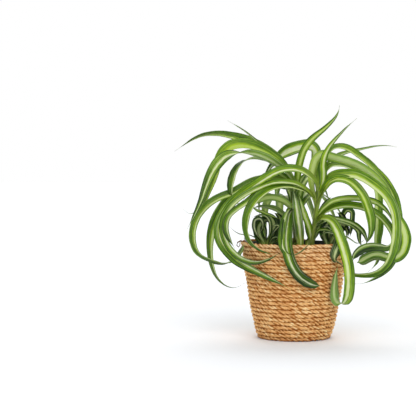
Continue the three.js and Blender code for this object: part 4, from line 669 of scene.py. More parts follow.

# Each crown: where it stands, the way its bundle of leaf bases goes up, and its material.
# The right crown takes the green with painted light, and the two offsets deep in the tangle take the green with
# painted shade.
CROWNS = {
    "rosette_middle": dict(foot=(-6, 15), radius=6.5, leaves=MIDDLE_CROWN_LEAVES, slot="leaf_green",
                           bundle=[(-6, 15, 112), (-6, 15, 130), (-4.5, 14, 157), (-2, 13, 180)],
                           bundle_radius=2.6),
    "rosette_right": dict(foot=(21, -9), radius=8, leaves=RIGHT_CROWN_LEAVES, slot="leaf_bright",
                          bundle=[(21, -9, 112), (21, -9, 124)], bundle_radius=4.8),
    "rosette_front": dict(foot=(7, -27), radius=5.5, leaves=FRONT_CROWN_LEAVES, slot="leaf_green",
                          bundle=[(7.5, -26, 112)], bundle_radius=2.4),
    "rosette_left": dict(foot=(-37, -12), radius=5, leaves=LEFT_OFFSET_LEAVES, slot="leaf_dark",
                         bundle=[(-37, -12, 110)], bundle_radius=2.2),
    "rosette_side": dict(foot=(43, -5), radius=5, leaves=RIGHT_OFFSET_LEAVES, slot="leaf_dark",
                         bundle=[(44, -5, 110)], bundle_radius=2.2),
    "rosette_back": dict(foot=(2, 39), radius=6.5, leaves=[], slot="leaf_green",
                         bundle=[(2, 39, 112)], bundle_radius=2.6),
}


# ---- Helpers ----

def smoothstep(low, high, value):
    """Eases from 0 at low to 1 at high, for numbers and arrays."""
    share = np.clip((value - low) / (high - low), 0, 1)
    return share * share * (3 - 2 * share)


def wave_noise(seed, rate, octaves=4, falloff=0.6, rate_spread=(0.8, 1.25)):
    """A smooth repeatable wander from -1 to 1 along a line, as a function of the place on it."""
    draw = random.Random(seed)
    parts = [(rate * 2 ** octave * draw.uniform(*rate_spread), draw.uniform(0, FULL_TURN), falloff ** octave)
             for octave in range(octaves)]
    total = sum(amount for _, _, amount in parts)
    return lambda place: sum(amount * np.sin(speed * place + phase) for speed, phase, amount in parts) / total


def unit(vectors):
    """The vectors at length 1."""
    return vectors / np.linalg.norm(vectors, axis=1, keepdims=True)


def run_along(places):
    """How far each place of a line is from its start."""
    steps = np.linalg.norm(np.diff(places, axis=0), axis=1)
    return np.concatenate([[0], np.cumsum(steps)])


def turns_round(sides):
    """The bearings of the corners of a ring."""
    return np.linspace(0, FULL_TURN, sides, endpoint=False)


def level_vectors(bearings):
    """The level vectors of length 1 at the bearings."""
    return np.stack([np.cos(bearings), np.sin(bearings), np.zeros_like(bearings)], axis=1)


def store_values(piece, name, domain, values):
    """Stores a number for each face or point, for the material to read."""
    layer = piece.data.attributes.new(name, "FLOAT", domain)
    layer.data.foreach_set("value", np.asarray(values, np.float32))


def new_piece(name, vertices, faces, material, uvs=None, smooth=True):
    """A mesh object that rides on the part's one body. vertices are in millimetres."""
    mesh = bpy.data.meshes.new(name)
    mesh.from_pydata((np.asarray(vertices, float) * MM).tolist(), [], faces)
    mesh.polygons.foreach_set("use_smooth", [smooth] * len(mesh.polygons))
    if uvs is not None:
        layer = mesh.uv_layers.new(name="UVMap")
        layer.data.foreach_set("uv", np.asarray(uvs, np.float32).ravel())
    mesh.materials.append(material)
    mesh.update()
    piece = bpy.data.objects.new(name, mesh)
    bpy.context.scene.collection.objects.link(piece)
    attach(piece, "root")
    return piece


class Skin:
    """Gathers closed tubes and ribbons into one mesh."""

    def __init__(self):
        self.vertices = []
        self.faces = []
        self.uvs = []
        self.face_data = {}
        self.point_data = {}
        self.on_margin = []

    def add(self, rings, ring_uvs, face_data=None, point_data=None, margins=()):
        """Joins rings of points, (ring, corner, xyz), into a closed skin. ring_uvs is (ring, corner + 1, uv).
        margins are the corners that run along a sharp edge."""
        count, corners = rings.shape[:2]
        start = len(self.vertices)
        self.vertices.extend(rings.reshape(-1, 3).tolist())
        self.on_margin.extend([corner in margins for corner in range(corners)] * count)
        made = []
        for ring in range(count - 1):
            a = start + ring * corners
            b = a + corners
            for corner in range(corners):
                following = (corner + 1) % corners
                made.append((a + corner, a + following, b + following, b + corner))
                self.uvs.extend((ring_uvs[ring, corner], ring_uvs[ring, corner + 1],
                                 ring_uvs[ring + 1, corner + 1], ring_uvs[ring + 1, corner]))
        last = start + (count - 1) * corners
        made.append(tuple(start + corner for corner in reversed(range(corners))))
        self.uvs.extend(ring_uvs[0, corner] for corner in reversed(range(corners)))
        made.append(tuple(last + corner for corner in range(corners)))
        self.uvs.extend(ring_uvs[-1, corner] for corner in range(corners))
        self.faces.extend(made)
        for name, values in (face_data or {}).items():
            self.face_data.setdefault(name, []).extend(np.broadcast_to(values, len(made)).tolist())
        for name, values in (point_data or {}).items():
            self.point_data.setdefault(name, []).extend(np.asarray(values).ravel().tolist())

    def piece(self, name, material, slot):
        """The gathered mesh as a piece."""
        made = new_piece(name, self.vertices, self.faces, material, self.uvs)
        for key, values in self.face_data.items():
            store_values(made, key, "FACE", values)
        for key, values in self.point_data.items():
            store_values(made, key, "POINT", values)
        self.sharpen(made.data)
        return made

    def sharpen(self, mesh):
        """Keeps the shading of the two faces apart along the margins."""
        ends = np.empty(len(mesh.edges) * 2, int)
        mesh.edges.foreach_get("vertices", ends)
        first, second = ends.reshape(-1, 2).T
        margin = np.array(self.on_margin)
        sharp = margin[first] & margin[second] & (np.abs(first - second) > 1)
        layer = mesh.attributes.new("sharp_edge", "BOOLEAN", "EDGE")
        layer.data.foreach_set("value", sharp)


def round_rings(middle, outward, aside, sizes, corners):
    """A ring of points round each middle place, at angles from outward towards aside."""
    radial = np.cos(corners)[:, None] * outward[:, None] + np.sin(corners)[:, None] * aside[:, None]
    return middle[:, None] + radial * np.asarray(sizes)[:, None, None]


def round_uvs(sides, along, turned=0.0):
    """Surface places for rings: round them, less the share that each has turned, and along their line."""
    uvs = np.empty((len(along), sides + 1, 2))
    uvs[:, :, 0] = np.linspace(0, 1, sides + 1) - np.reshape(turned, (-1, 1))
    uvs[:, :, 1] = along[:, None]
    return uvs


def add_tube(skin, places, sizes, sides, gap_shade=0.0):
    """A round tube along some places. Its gap value paints shade on one that lies between cords."""
    # No tube runs this way.
    nearly_up = (0.12, 0.21, 0.97)
    places = np.asarray(places, float)
    along = unit(np.gradient(places, axis=0))
    outward = unit(np.cross(along, nearly_up))
    rings = round_rings(places, outward, np.cross(along, outward), sizes, turns_round(sides))
    plain = np.zeros(rings.shape[:2])
    uvs = round_uvs(sides, np.linspace(0, 1, len(places)))
    skin.add(rings, uvs, point_data={"gap_shade": plain + gap_shade, "tone": plain})


def lathe(profile, sides, shaped=None, joined=False):
    """A closed form round +Z for a profile of (radius, height), as vertices and faces. shaped changes the
    profile at a bearing. The two ends are joined to each other, or closed by flat caps."""
    vertices = []
    for radius, height in profile:
        for bearing in turns_round(sides):
            r, z = shaped(bearing, radius, height) if shaped else (radius, height)
            vertices.append((r * math.cos(bearing), r * math.sin(bearing), z))
    rows = len(profile)
    faces = []
    for row in range(rows if joined else rows - 1):
        a = row * sides
        b = (row + 1) % rows * sides
        for side in range(sides):
            following = (side + 1) % sides
            faces.append((a + side, a + following, b + following, b + side))
    if not joined:
        last = (rows - 1) * sides
        faces.append(tuple(reversed(range(sides))))
        faces.append(tuple(range(last, last + sides)))
    return vertices, faces


# ---- Materials ----

def linear(colour):
    """An sRGB colour of 0 to 255 as Blender's linear one."""
    shares = [value / 255 for value in colour]
    return [share / 12.92 if share <= 0.04045 else ((share + 0.055) / 1.055) ** 2.4 for share in shares] + [1]


class Look:
    """A node material built step by step."""

    def __init__(self, name, roughness, gloss, **constants):
        self.material = bpy.data.materials.new(name)
        self.material.use_nodes = True
        self.nodes = self.material.node_tree.nodes
        self.links = self.material.node_tree.links
        self.shader = self.nodes["Principled BSDF"]
        constants.update(Roughness=roughness, Specular_IOR_Level=gloss)
        for key, value in constants.items():
            self.shader.inputs[key.replace("_", " ")].default_value = value

    def node(self, kind, **settings):
        """A new node, with its settings."""
        made = self.nodes.new(kind)
        for key, value in settings.items():
            setattr(made, key, value)
        return made

    def feed(self, socket, value):
        """Links an output to a socket, or sets the socket's own value."""
        if isinstance(value, bpy.types.NodeSocket):
            self.links.new(value, socket)
        else:
            socket.default_value = value

    def coords(self, kind="Object"):
        """Places in the piece's own space, or on its surface."""
        return self.node("ShaderNodeTexCoord").outputs[kind]

    def part(self, vector, axis):
        """One of a vector's parts: X, Y or Z."""
        made = self.node("ShaderNodeSeparateXYZ")
        self.feed(made.inputs[0], vector)
        return made.outputs[axis]

    def attribute(self, name):
        """A number stored with the mesh."""
        return self.node("ShaderNodeAttribute", attribute_name=name).outputs["Fac"]

    def noise(self, vector, scale, detail=3.0, roughness=0.55):
        """Noise about 0.5. scale is a number, or one for each part of the vector."""
        made = self.node("ShaderNodeTexNoise")
        if isinstance(scale, tuple):
            stretched = self.node("ShaderNodeVectorMath", operation="MULTIPLY")
            self.feed(stretched.inputs[0], vector)
            stretched.inputs[1].default_value = scale
            vector, scale = stretched.outputs[0], 1.0
        self.feed(made.inputs["Vector"], vector)
        made.inputs["Scale"].default_value = scale
        made.inputs["Detail"].default_value = detail
        made.inputs["Roughness"].default_value = roughness
        return made.outputs["Fac"]

    def maths(self, operation, a, b=0.0):
        """One step of arithmetic. Some operations take only the first number."""
        made = self.node("ShaderNodeMath", operation=operation)
        self.feed(made.inputs[0], a)
        self.feed(made.inputs[1], b)
        return made.outputs[0]

    def total(self, start, weighted):
        """The start plus each part times its weight."""
        for part, weight in weighted:
            start = self.maths("ADD", self.maths("MULTIPLY", part, weight), start)
        return start

    def ease(self, value, low, high):
        """Eases a number from 0 at low to 1 at high."""
        made = self.node("ShaderNodeMapRange", interpolation_type="SMOOTHSTEP")
        self.feed(made.inputs["Value"], value)
        self.feed(made.inputs["From Min"], low)
        self.feed(made.inputs["From Max"], high)
        return made.outputs["Result"]

    def ramp(self, value, stops):
        """Colours along a number."""
        made = self.node("ShaderNodeValToRGB")
        elements = made.color_ramp.elements
        while len(elements) < len(stops):
            elements.new(0.5)
        for element, (place, colour) in zip(elements, stops):
            element.position = place
            element.color = linear(colour)
        self.feed(made.inputs["Fac"], value)
        return made.outputs["Color"]

    def mix(self, share, first, second, most=1.0, blend="MIX"):
        """Mixes two colours, up to most of the second. A colour is an output or an sRGB triple."""
        made = self.node("ShaderNodeMix", data_type="RGBA", blend_type=blend)
        self.feed(made.inputs["Factor"], share if most == 1.0 else self.maths("MULTIPLY", share, most))
        sockets = [socket for socket in made.inputs if socket.type == "RGBA"]
        for socket, colour in zip(sockets, (first, second)):
            self.feed(socket, linear(colour) if isinstance(colour, tuple) else colour)
        return [socket for socket in made.outputs if socket.type == "RGBA"][0]

    def finished(self, colour, height=None, strength=0.0, depth=0.0):
        """The material, with its colour and the relief of its surface, whose depth is in metres."""
        self.feed(self.shader.inputs["Base Color"], colour)
        if height is not None:
            made = self.node("ShaderNodeBump")
            made.inputs["Strength"].default_value = strength
            made.inputs["Distance"].default_value = depth
            self.feed(made.inputs["Height"], height)
            self.links.new(made.outputs["Normal"], self.shader.inputs["Normal"])
        return self.material


def grainy_material(name):
    """One of the plain grainy materials."""
    facts = GRAINY_LOOKS[name]
    look = Look(name, facts["roughness"], facts["gloss"])
    colour = look.ramp(look.noise(look.coords(), *facts["grain"]), facts["ramp"])
    if "relief" not in facts:
        return look.finished(colour)
    relief = look.noise(look.coords(), *facts["relief"])
    return look.finished(colour, relief, facts["strength"], facts["depth"])


def seagrass_material():
    """Dry seagrass: streaks along each strand, with a painted highlight on the top rows, and painted shade in
    the gaps and along the foot.
    """
    look = Look("twisted_seagrass", roughness=0.8, gloss=0.25)
    surface, place = look.coords("UV"), look.coords()
    streaks = look.noise(surface, (7.2, 1.4, 0), detail=4, roughness=0.7)
    specks = look.noise(place, (190, 190, 342), detail=3, roughness=0.7)
    patches = look.noise(place, 42)
    value = look.total(-0.35, [(streaks, 0.8), (specks, 0.6), (patches, 0.3), (look.attribute("tone"), 0.1)])
    base = look.ramp(value, SEAGRASS_RAMP)
    greenish = look.ease(look.noise(place, 17, detail=2), low=0.58, high=0.78)
    base = look.mix(greenish, base, SEAGRASS_GREENISH, most=0.25)
    height = look.part(place, "Z")
    # Painted shade along the bottom row, where the basket meets the floor.
    contact_shade = look.ease(height, low=0.004, high=0.001)
    base = look.mix(contact_shade, base, SEAGRASS_CONTACT_SHADE, most=0.7, blend="MULTIPLY")
    # Painted highlight: the top rows paler.
    rim_highlight = look.ease(height, low=0.095, high=0.123)
    base = look.mix(rim_highlight, base, SEAGRASS_RIM_HIGHLIGHT, most=0.3)
    # Painted shade in the gaps between and behind the strands.
    gap_shade_share = look.ease(look.attribute("gap_shade"), low=0.2, high=0.9)
    base = look.mix(gap_shade_share, base, SEAGRASS_GAP_SHADE, blend="MULTIPLY")
    return look.finished(base, look.noise(surface, (80, 2.5, 0)), strength=0.55, depth=0.0006)


def stripe_shares(look, surface, across, run_out):
    """How far a point of a leaf is in the ragged pale stripe, and in the lighter green beside it."""
    streaks = look.noise(surface, (13.2, 1.21, 0), detail=4, roughness=0.6)
    lines = look.ease(look.noise(surface, (14, 0.1, 0), detail=1), low=0.56, high=0.7)
    from_stripe = look.maths("ABSOLUTE", look.maths("SUBTRACT", across, look.attribute("shift")))
    ragged = look.total(from_stripe, [(look.maths("SUBTRACT", streaks, 0.5), 0.42)])
    half = look.maths("MULTIPLY", look.attribute("stripe"), look.total(1.0, [(run_out, -0.4)]))
    stripe = look.ease(ragged, low=look.maths("ADD", half, 0.12), high=look.maths("MULTIPLY", half, 0.6))
    stripe = look.maths("MAXIMUM", stripe, look.maths("MULTIPLY", lines, 0.4))
    beside = look.ease(ragged, low=look.maths("ADD", half, 0.55), high=half)
    return stripe, beside


def leaf_material(slot):
    """A satin leaf: streaky green with fine veins, a ragged pale stripe, a paler root, and a paler underside
    that is partly the leaf's own and partly painted light shining through.
    """
    look = Look(slot + "_blade", roughness=0.42, gloss=0.25, Subsurface_Weight=0.15, Subsurface_Scale=0.0012,
                Subsurface_Radius=(0.6, 1.0, 0.25))
    surface, share = look.coords("UV"), look.attribute("share")
    across = look.total(-1.0, [(look.part(surface, "X"), 2.0)])
    run_out = look.ease(share, low=0.55, high=1.0)
    stripe, beside = stripe_shares(look, surface, across, run_out)
    margin = look.ease(look.maths("ABSOLUTE", across), low=0.72, high=1.0)
    veins = look.noise(surface, (60, 0.6, 0))
    bands = look.noise(surface, (8, 0.16, 0), detail=2)
    patches = look.noise(surface, (2.4, 0.96, 0))
    value = look.total(-0.6, [(look.attribute("tone"), 0.26), (patches, 0.3), (veins, 0.3), (bands, 1.4),
                              (beside, 0.3), (run_out, -0.3), (margin, -0.2)])
    green = look.ramp(value, list(zip((0.0, 0.45, 0.9), LEAF_PALETTES[slot])))
    cream = look.mix(look.attribute("cream"), LIME_STRIPE, WHITE_STRIPE)
    cream = look.mix(veins, cream, green, most=0.5)
    cream = look.mix(run_out, cream, green, most=0.25)
    face = look.mix(stripe, green, cream)
    # The underside is paler, partly its own colour and partly painted light shining through the blade.
    face = look.mix(look.attribute("under"), face, look.mix(0.34, face, PALE_UNDERSIDE_AND_SHINE))
    face = look.mix(look.ease(share, low=0.28, high=0.08), face, LEAF_ROOT, most=0.5)
    face = look.mix(look.ease(share, low=0.1, high=0.02), face, LEAF_FOOT, most=0.6)
    look.feed(look.shader.inputs["Roughness"], look.total(0.34, [(veins, 0.16)]))
    return look.finished(face, look.noise(surface, (44, 0.24, 0), detail=2), strength=0.45, depth=0.0006)


# ---- Basket ----

def basket_radius(height):
    """The radius of the basket's outer side."""
    rise = np.clip(height, 0, None) / BASKET_HEIGHT
    return BASKET_BASE_RADIUS + (BASKET_TOP_RADIUS - BASKET_BASE_RADIUS) * rise ** BASKET_BULGE


def wall_route():
    """The wall's cord from the bottom row to the rim: its places and the outward direction at each. The rows
    are level, and each climbs to the next one at the back, where the cord's start is tucked in."""
    turn_length = math.pi * (BASKET_BASE_RADIUS + BASKET_TOP_RADIUS)
    turns = np.arange(-CLIMB_SHARE, BASKET_ROWS - CLIMB_SHARE, CORD_STEP / turn_length)
    row = np.floor(turns)
    level = (row + 0.5 + smoothstep(1 - CLIMB_SHARE, 1, turns - row)) * ROW_HEIGHT
    level = np.maximum(level, ROW_HEIGHT / 2)
    tucked = smoothstep(0, -CLIMB_SHARE, turns) * ROW_HEIGHT
    loose = smoothstep(0, ROW_HEIGHT, level - ROW_HEIGHT) * smoothstep(0, ROW_HEIGHT, BASKET_HEIGHT - level)
    rise = ROW_WANDER * wave_noise(ROW_RISE_SEED, ROW_RISE_RATE)(turns)
    reach = ROW_WANDER * wave_noise(ROW_REACH_SEED, ROW_REACH_RATE)(turns)
    radius = basket_radius(level) - CORD_DEPTH / 2 - tucked + reach
    outward = level_vectors(math.radians(CLIMB_BEARING) + turns * FULL_TURN)
    places = outward * radius[:, None]
    places[:, 2] = level + loose * rise
    return places, outward


def base_route():
    """The base's cord: a flat coil from the middle out to the first row of the wall."""
    reach = float(basket_radius(ROW_HEIGHT / 2)) - COIL_INSET_ROWS * ROW_HEIGHT
    length = math.pi * reach * reach / ROW_HEIGHT
    run = np.arange(CORD_STEP, length, CORD_STEP)
    radius = np.sqrt(run * ROW_HEIGHT / math.pi)
    places = level_vectors(FULL_TURN * radius / ROW_HEIGHT) * radius[:, None]
    places[:, 2] = ROW_HEIGHT / 2
    down = np.tile((0.0, 0.0, -1.0), (len(places), 1))
    return places, down


def add_strand(skin, places, outward, phase, seed):
    """One strand of a cord, wound round the cord's middle line."""
    run = run_along(places)
    along = unit(np.gradient(places, axis=0))
    aside = unit(np.cross(along, outward))
    slack = TWIST_SLACK * wave_noise(seed, TWIST_SLACK_RATE)(run)
    turn = phase + FULL_TURN * run / TWIST_LENGTH + slack
    middle = places + STRAND_OFFSET * (np.cos(turn)[:, None] * outward + np.sin(turn)[:, None] * aside)
    swell = 1 + STRAND_LUMPINESS * wave_noise(seed + LUMP_SEED, STRAND_LUMP_RATE)(run)
    inside = smoothstep(0, STRAND_END_LENGTH, run) * smoothstep(0, STRAND_END_LENGTH, run[-1] - run)
    size = STRAND_RADIUS * swell * (STRAND_END_SHARE + (1 - STRAND_END_SHARE) * inside)
    rings = round_rings(middle, outward, aside, size, math.pi + turns_round(STRAND_SIDES))
    rings[:, :, 2] = np.maximum(rings[:, :, 2], 0)
    depth = np.einsum("rck,rk->rc", rings - places[:, None], outward)
    uvs = round_uvs(STRAND_SIDES, run / UV_LENGTH + seed * STRAND_GRAIN_STEP, turn / FULL_TURN)
    tone = wave_noise(seed + TONE_SEED, STRAND_TONE_RATE)(run)
    tone = np.repeat(tone[:, None], STRAND_SIDES, axis=1)
    # The gap value paints shade on the parts of each strand that lie back in the cord, away from its outer
    # side.
    skin.add(rings, uvs, point_data={"gap_shade": 1 - depth / CORD_DEPTH * 2, "tone": tone})


def cord_piece(name, route, material, seed):
    """A twisted cord along a route."""
    skin = Skin()
    for strand in range(STRANDS):
        add_strand(skin, *route, strand * FULL_TURN / STRANDS, seed + strand)
    return skin.piece(name, material, "seagrass")


def core_piece(name, route, material):
    """A plain cord behind each row, and one halfway between the rows."""
    places, outward = route
    behind = places - outward * CORE_INSET
    between = behind + (0, 0, ROW_HEIGHT / 2)
    between = between[between[:, 2] < BASKET_HEIGHT - ROW_HEIGHT]
    skin = Skin()
    for line in (behind, between):
        line = line[::round(CORE_STEP / CORD_STEP)]
        # The full gap value paints shade all over the core cords.
        add_tube(skin, line, [CORE_RADIUS] * len(line), CORE_SIDES, gap_shade=1.0)
    return skin.piece(name, material, "seagrass")


def stray_fibres(material):
    """Short loose fibres that stand out of the wall's rows."""
    draw = random.Random(FIBRE_SEED)
    share = np.linspace(0, 1, FIBRE_POINTS)
    sizes = FIBRE_RADIUS * np.linspace(1, FIBRE_TIP_SHARE, FIBRE_POINTS)
    skin = Skin()
    for _ in range(FIBRE_COUNT):
        bearing = draw.uniform(0, FULL_TURN)
        height = draw.uniform(FIBRE_FROM_EDGE, BASKET_HEIGHT - FIBRE_FROM_EDGE)
        outward = np.array((math.cos(bearing), math.sin(bearing), 0))
        along = np.array((-math.sin(bearing), math.cos(bearing), draw.uniform(-FIBRE_SLANT, FIBRE_SLANT)))
        start = outward * (float(basket_radius(height)) - FIBRE_ROOT_DEPTH)
        start[2] = height
        length = FIBRE_LENGTH * draw.uniform(*FIBRE_LENGTH_SHARES) * draw.choice((-1, 1))
        lift = draw.uniform(*FIBRE_LIFTS) * np.sin(share * FIBRE_BOW)
        places = start + np.outer(share * length, along) + np.outer(lift, outward)
        places[:, 2] = np.clip(places[:, 2], 1, BASKET_HEIGHT + 1)
        add_tube(skin, places, sizes, FIBRE_SIDES)
    skin.piece("stray_fibres", material, "seagrass")


def make_basket():
    """The basket, its fibres, and the dried curl on its rim."""
    material = seagrass_material()
    route = wall_route()
    pieces = [
        cord_piece("basket_wall", route, material, WALL_SEED),
        cord_piece("basket_floor", base_route(), material, BASE_SEED),
        core_piece("basket_core", route, material),
    ]
    for piece in pieces:
        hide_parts("basket")
    stray_fibres(material)
    skin = Skin()
    add_tube(skin, DRIED_CURL, np.linspace(*DRIED_CURL_RADII, len(DRIED_CURL)), DRIED_CURL_SIDES)
    skin.piece("dried_curl", grainy_material("dried_leaf"), "seagrass")


# ---- Liner, nursery pot and soil ----

def flap_share(bearing):
    """How far up the liner's torn flap stands at a bearing."""
    from_flap = abs((bearing - LINER_FLAP_BEARING + math.pi) % FULL_TURN - math.pi)
    return math.exp(-((from_flap / LINER_FLAP_SPREAD) ** 4))


def make_liner():
    """The crinkled film inside the basket, with a torn flap that stands over the rim at the left."""
    creases = wave_noise(CREASE_SEED, LINER_CREASE_RATE, octaves=5)
    tears = wave_noise(TEAR_SEED, LINER_TEAR_RATE, octaves=6)

    def crinkled(bearing, inset, share):
        top = LINER_TOP + LINER_FLAP_HEIGHT * flap_share(bearing) + LINER_RAGGED * float(tears(bearing))
        height = LINER_FLOOR + (top - LINER_FLOOR) * share
        deepness = LINER_CREASE_AT_FLOOR + (1 - LINER_CREASE_AT_FLOOR) * share
        crease = LINER_CREASE * (float(creases(bearing + LINER_CREASE_SLANT * share)) * deepness - 1)
        leaning = max(height - LINER_TOP, 0) * LINER_FLAP_LEAN
        inside = float(basket_radius(min(height, LINER_TOP))) - CORD_DEPTH - LINER_CLEARANCE
        return inside + crease - inset + leaning, height

    outer = [(0.0, share) for share in LINER_ROWS]
    inner = [(LINER_THICKNESS, share) for share in reversed(LINER_ROWS)]
    vertices, faces = lathe(outer + inner, LINER_SIDES, crinkled, joined=True)
    piece = new_piece("crinkled_liner", vertices, faces, grainy_material("crinkled_film"))
    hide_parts("liner")


def pot_radius(height):
    """The radius of the nursery pot's outer wall."""
    share = (height - POT_FLOOR) / (POT_TOP - POT_LIP_DEPTH - POT_FLOOR)
    return POT_BASE_RADIUS + (POT_NECK_RADIUS - POT_BASE_RADIUS) * share


def make_pot():
    """The nursery pot, with a rolled lip."""
    lip = POT_TOP - POT_LIP_DEPTH
    lowest, rows = POT_OUTER_ROWS
    outside = [(pot_radius(height), height) for height in np.linspace(lowest, lip, rows)]
    lowest, rows = POT_INNER_ROWS
    inside = [(pot_radius(height) - POT_WALL, height)
              for height in np.linspace(lip - POT_NECK_INSIDE, lowest, rows)]
    roll = [(POT_LIP_RADIUS - POT_ROLL * (1 - math.cos(turn)), POT_TOP - POT_ROLL * (1 - math.sin(turn)))
            for turn in np.linspace(POT_ROLL_START, math.pi, POT_ROLL_POINTS)]
    under_lip = [(POT_LIP_RADIUS - inset, lip + rise) for inset, rise in POT_LIP_OUTSIDE]
    inset, rise = POT_LIP_INSIDE
    neck = [(POT_LIP_RADIUS - inset, lip + rise), (POT_NECK_RADIUS - POT_WALL, lip)]
    foot = [(CAP_RADIUS, POT_FLOOR), (POT_BASE_RADIUS - POT_CORNER, POT_FLOOR),
            (POT_BASE_RADIUS, POT_FLOOR + POT_CORNER)]
    floor = [(CAP_RADIUS, POT_FLOOR + POT_WALL)]
    vertices, faces = lathe(foot + outside + under_lip + roll + neck + inside + floor, POT_SIDES)
    piece = new_piece("grower_pot", vertices, faces, grainy_material("black_pot_plastic"))
    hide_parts("nursery_pot")


def soil_height(x, y):
    """The height of the soil's surface: a mound with low lumps."""
    share = np.minimum(np.hypot(x, y) / POT_NECK_RADIUS, 1)
    straight = np.sin(x * SOIL_WAVE[0] + 1) * np.cos(y * SOIL_WAVE[1])
    slanting = np.sin(x * SOIL_SLANT_WAVE[0] - y * SOIL_SLANT_WAVE[1])
    lump = straight + SOIL_SLANT_SHARE * slanting
    return SOIL_EDGE_HEIGHT + SOIL_MOUND * (1 - share * share) + SOIL_LUMP * lump


def make_soil():
    """The soil, whose top is crumbly."""
    draw = random.Random(SOIL_SEED)
    edge = pot_radius(SOIL_EDGE_HEIGHT) - POT_WALL - SOIL_CLEARANCE
    bottom = POT_FLOOR + 2 * POT_WALL
    bottom_radius = pot_radius(bottom) - POT_WALL - 2 * SOIL_CLEARANCE
    profile = [(CAP_RADIUS, bottom), (bottom_radius, bottom), (edge, SOIL_EDGE_HEIGHT - SOIL_EDGE_DEPTH)]
    profile += [(edge * share, None) for share in np.linspace(1, SOIL_MIDDLE_SHARE, SOIL_RINGS)]

    def crumbled(bearing, radius, height):
        if height is not None:
            return radius, height
        top = float(soil_height(radius * math.cos(bearing), radius * math.sin(bearing)))
        return radius, top + draw.uniform(-SOIL_CRUMB, SOIL_CRUMB)

    vertices, faces = lathe(profile, SOIL_SIDES, crumbled)
    piece = new_piece("potting_soil", vertices, faces, grainy_material("potting_soil"))
    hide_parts("soil")


def scatter_bits(name, count, size, material, seed):
    """Irregular bits that lie on the soil."""
    draw = random.Random(seed)
    vertices, faces = [], []
    for _ in range(count):
        bearing = draw.uniform(0, FULL_TURN)
        radius = math.sqrt(draw.random()) * (pot_radius(SOIL_EDGE_HEIGHT) - BIT_FROM_EDGE)
        x, y = radius * math.cos(bearing), radius * math.sin(bearing)
        centre = Vector((x, y, float(soil_height(x, y)) + BIT_LIFT))
        stretch = Vector([draw.uniform(*limits) for limits in BIT_STRETCHES])
        turn = draw.uniform(0, FULL_TURN)
        shape = bmesh.new()
        bmesh.ops.create_icosphere(shape, subdivisions=1, radius=size * draw.uniform(*BIT_SIZES))
        start = len(vertices)
        for vertex in shape.verts:
            place = vertex.co * draw.uniform(*BIT_KNOBS) * stretch
            place.rotate(Euler((draw.uniform(-BIT_LEAN, BIT_LEAN), 0, turn)))
            vertices.append(tuple(place + centre))
        faces.extend(tuple(start + vertex.index for vertex in face.verts) for face in shape.faces)
        shape.free()
    new_piece(name, vertices, faces, material, smooth=False)


# ---- Leaves ----

def seen_from_front(path):
    """Real places for rows of (across, up, depth) as seen from the front."""
    across, up, depth = np.asarray(path, float)[:, :3].T
    nearness = 1 + depth / EYE_DISTANCE
    return np.stack([across * nearness, depth, EYE_HEIGHT + (up - EYE_HEIGHT) * nearness], axis=1)


def catmull_rom(points, shares):
    """The centripetal curve through the points at shares of their count: places and unit headings."""
    points = np.asarray(points, float)
    line = np.concatenate([[2 * points[0] - points[1]], points, [2 * points[-1] - points[-2]]])
    place = np.asarray(shares) * (len(points) - 1)
    row = np.minimum(place.astype(int), len(points) - 2)
    w = (place - row)[:, None]
    p0, p1, p2, p3 = (line[row + step] for step in range(4))
    d0, d1, d2 = (np.linalg.norm(b - a, axis=1)[:, None] ** 0.5 for a, b in ((p0, p1), (p1, p2), (p2, p3)))
    t1 = ((p1 - p0) / d0 - (p2 - p0) / (d0 + d1) + (p2 - p1) / d1) * d1
    t2 = ((p2 - p1) / d1 - (p3 - p1) / (d1 + d2) + (p3 - p2) / d2) * d1
    c2 = -3 * p1 + 3 * p2 - 2 * t1 - t2
    c3 = 2 * p1 - 2 * p2 + t1 + t2
    places = p1 + t1 * w + c2 * w ** 2 + c3 * w ** 3
    return places, unit(t1 + 2 * c2 * w + 3 * c3 * w ** 2)


def stations(points):
    """Shares of the curve where a blade gets a ring: closer together where it bends more."""
    samples = np.linspace(0, 1, CURVE_SAMPLES)
    places, headings = catmull_rom(points, samples)
    bends = np.arccos(np.clip(np.sum(headings[1:] * headings[:-1], axis=1), -1, 1))
    effort = run_along(places) / STATION_LENGTH
    effort[1:] += np.cumsum(bends) / STATION_TURN
    count = max(int(round(effort[-1])), FEWEST_STATIONS)
    return np.interp(np.linspace(0, effort[-1], count + 1), effort, samples)


def blade_width(blade, shares):
    """Narrow where it sheathes the crown, widest along its arch, and running out to a thin tip."""
    full = blade["width"] * (SHEATH_SHARE + (1 - SHEATH_SHARE) * smoothstep(0, SHEATH_END, shares))
    narrowing = np.clip((shares - blade["taper"]) / (1 - blade["taper"]), 0, 1)
    narrowed = full * (1 - narrowing) ** blade["whip"]
    blunt = blade["tip"] or BLUNT_CAD_TIP
    closing = smoothstep(1.0, ROUND_TIP_START if blade["tip"] else THIN_TIP_START, shares)
    return np.maximum(np.maximum(narrowed, blunt) * closing, FINE_TIP)


def section():
    """Places across a blade's ring: the upper face from margin to margin, then the lower face back."""
    inner = [-place for place in reversed(HALF_SECTION)] + [0.0] + list(HALF_SECTION)
    upper = [(place, 1) for place in inner]
    lower = [(place, -1) for place in reversed(inner[1:-1])]
    return np.array(upper + lower).T


def blade_rise(half, place, face, run, shares, seed):
    """How far each point of a blade's rings stands off its curve: its channel, ripple and thickness."""
    opened = smoothstep(*OPENING, shares)
    channel = CHANNEL_AT_ROOT + (CHANNEL - CHANNEL_AT_ROOT) * opened
    rise = np.outer(channel * half, np.abs(place) ** CHANNEL_CURVE - CHANNEL_SINK)
    for margin in (-1, 1):
        wander = wave_noise(seed * 2 + margin, FULL_TURN / RIPPLE_LENGTH, octaves=3)(run)
        ripple = wander * RIPPLE * opened * np.minimum(half / RIPPLE_HALF_WIDTH, 1)
        rise += np.outer(ripple, np.clip(place * margin, 0, 1) ** 2)
    thick = BLADE_THICKNESS / 2 * (1 - MARGIN_THINNING * np.abs(place) ** 3) * face
    return rise + np.outer(np.minimum(half / THICK_HALF_WIDTH, 1), thick)


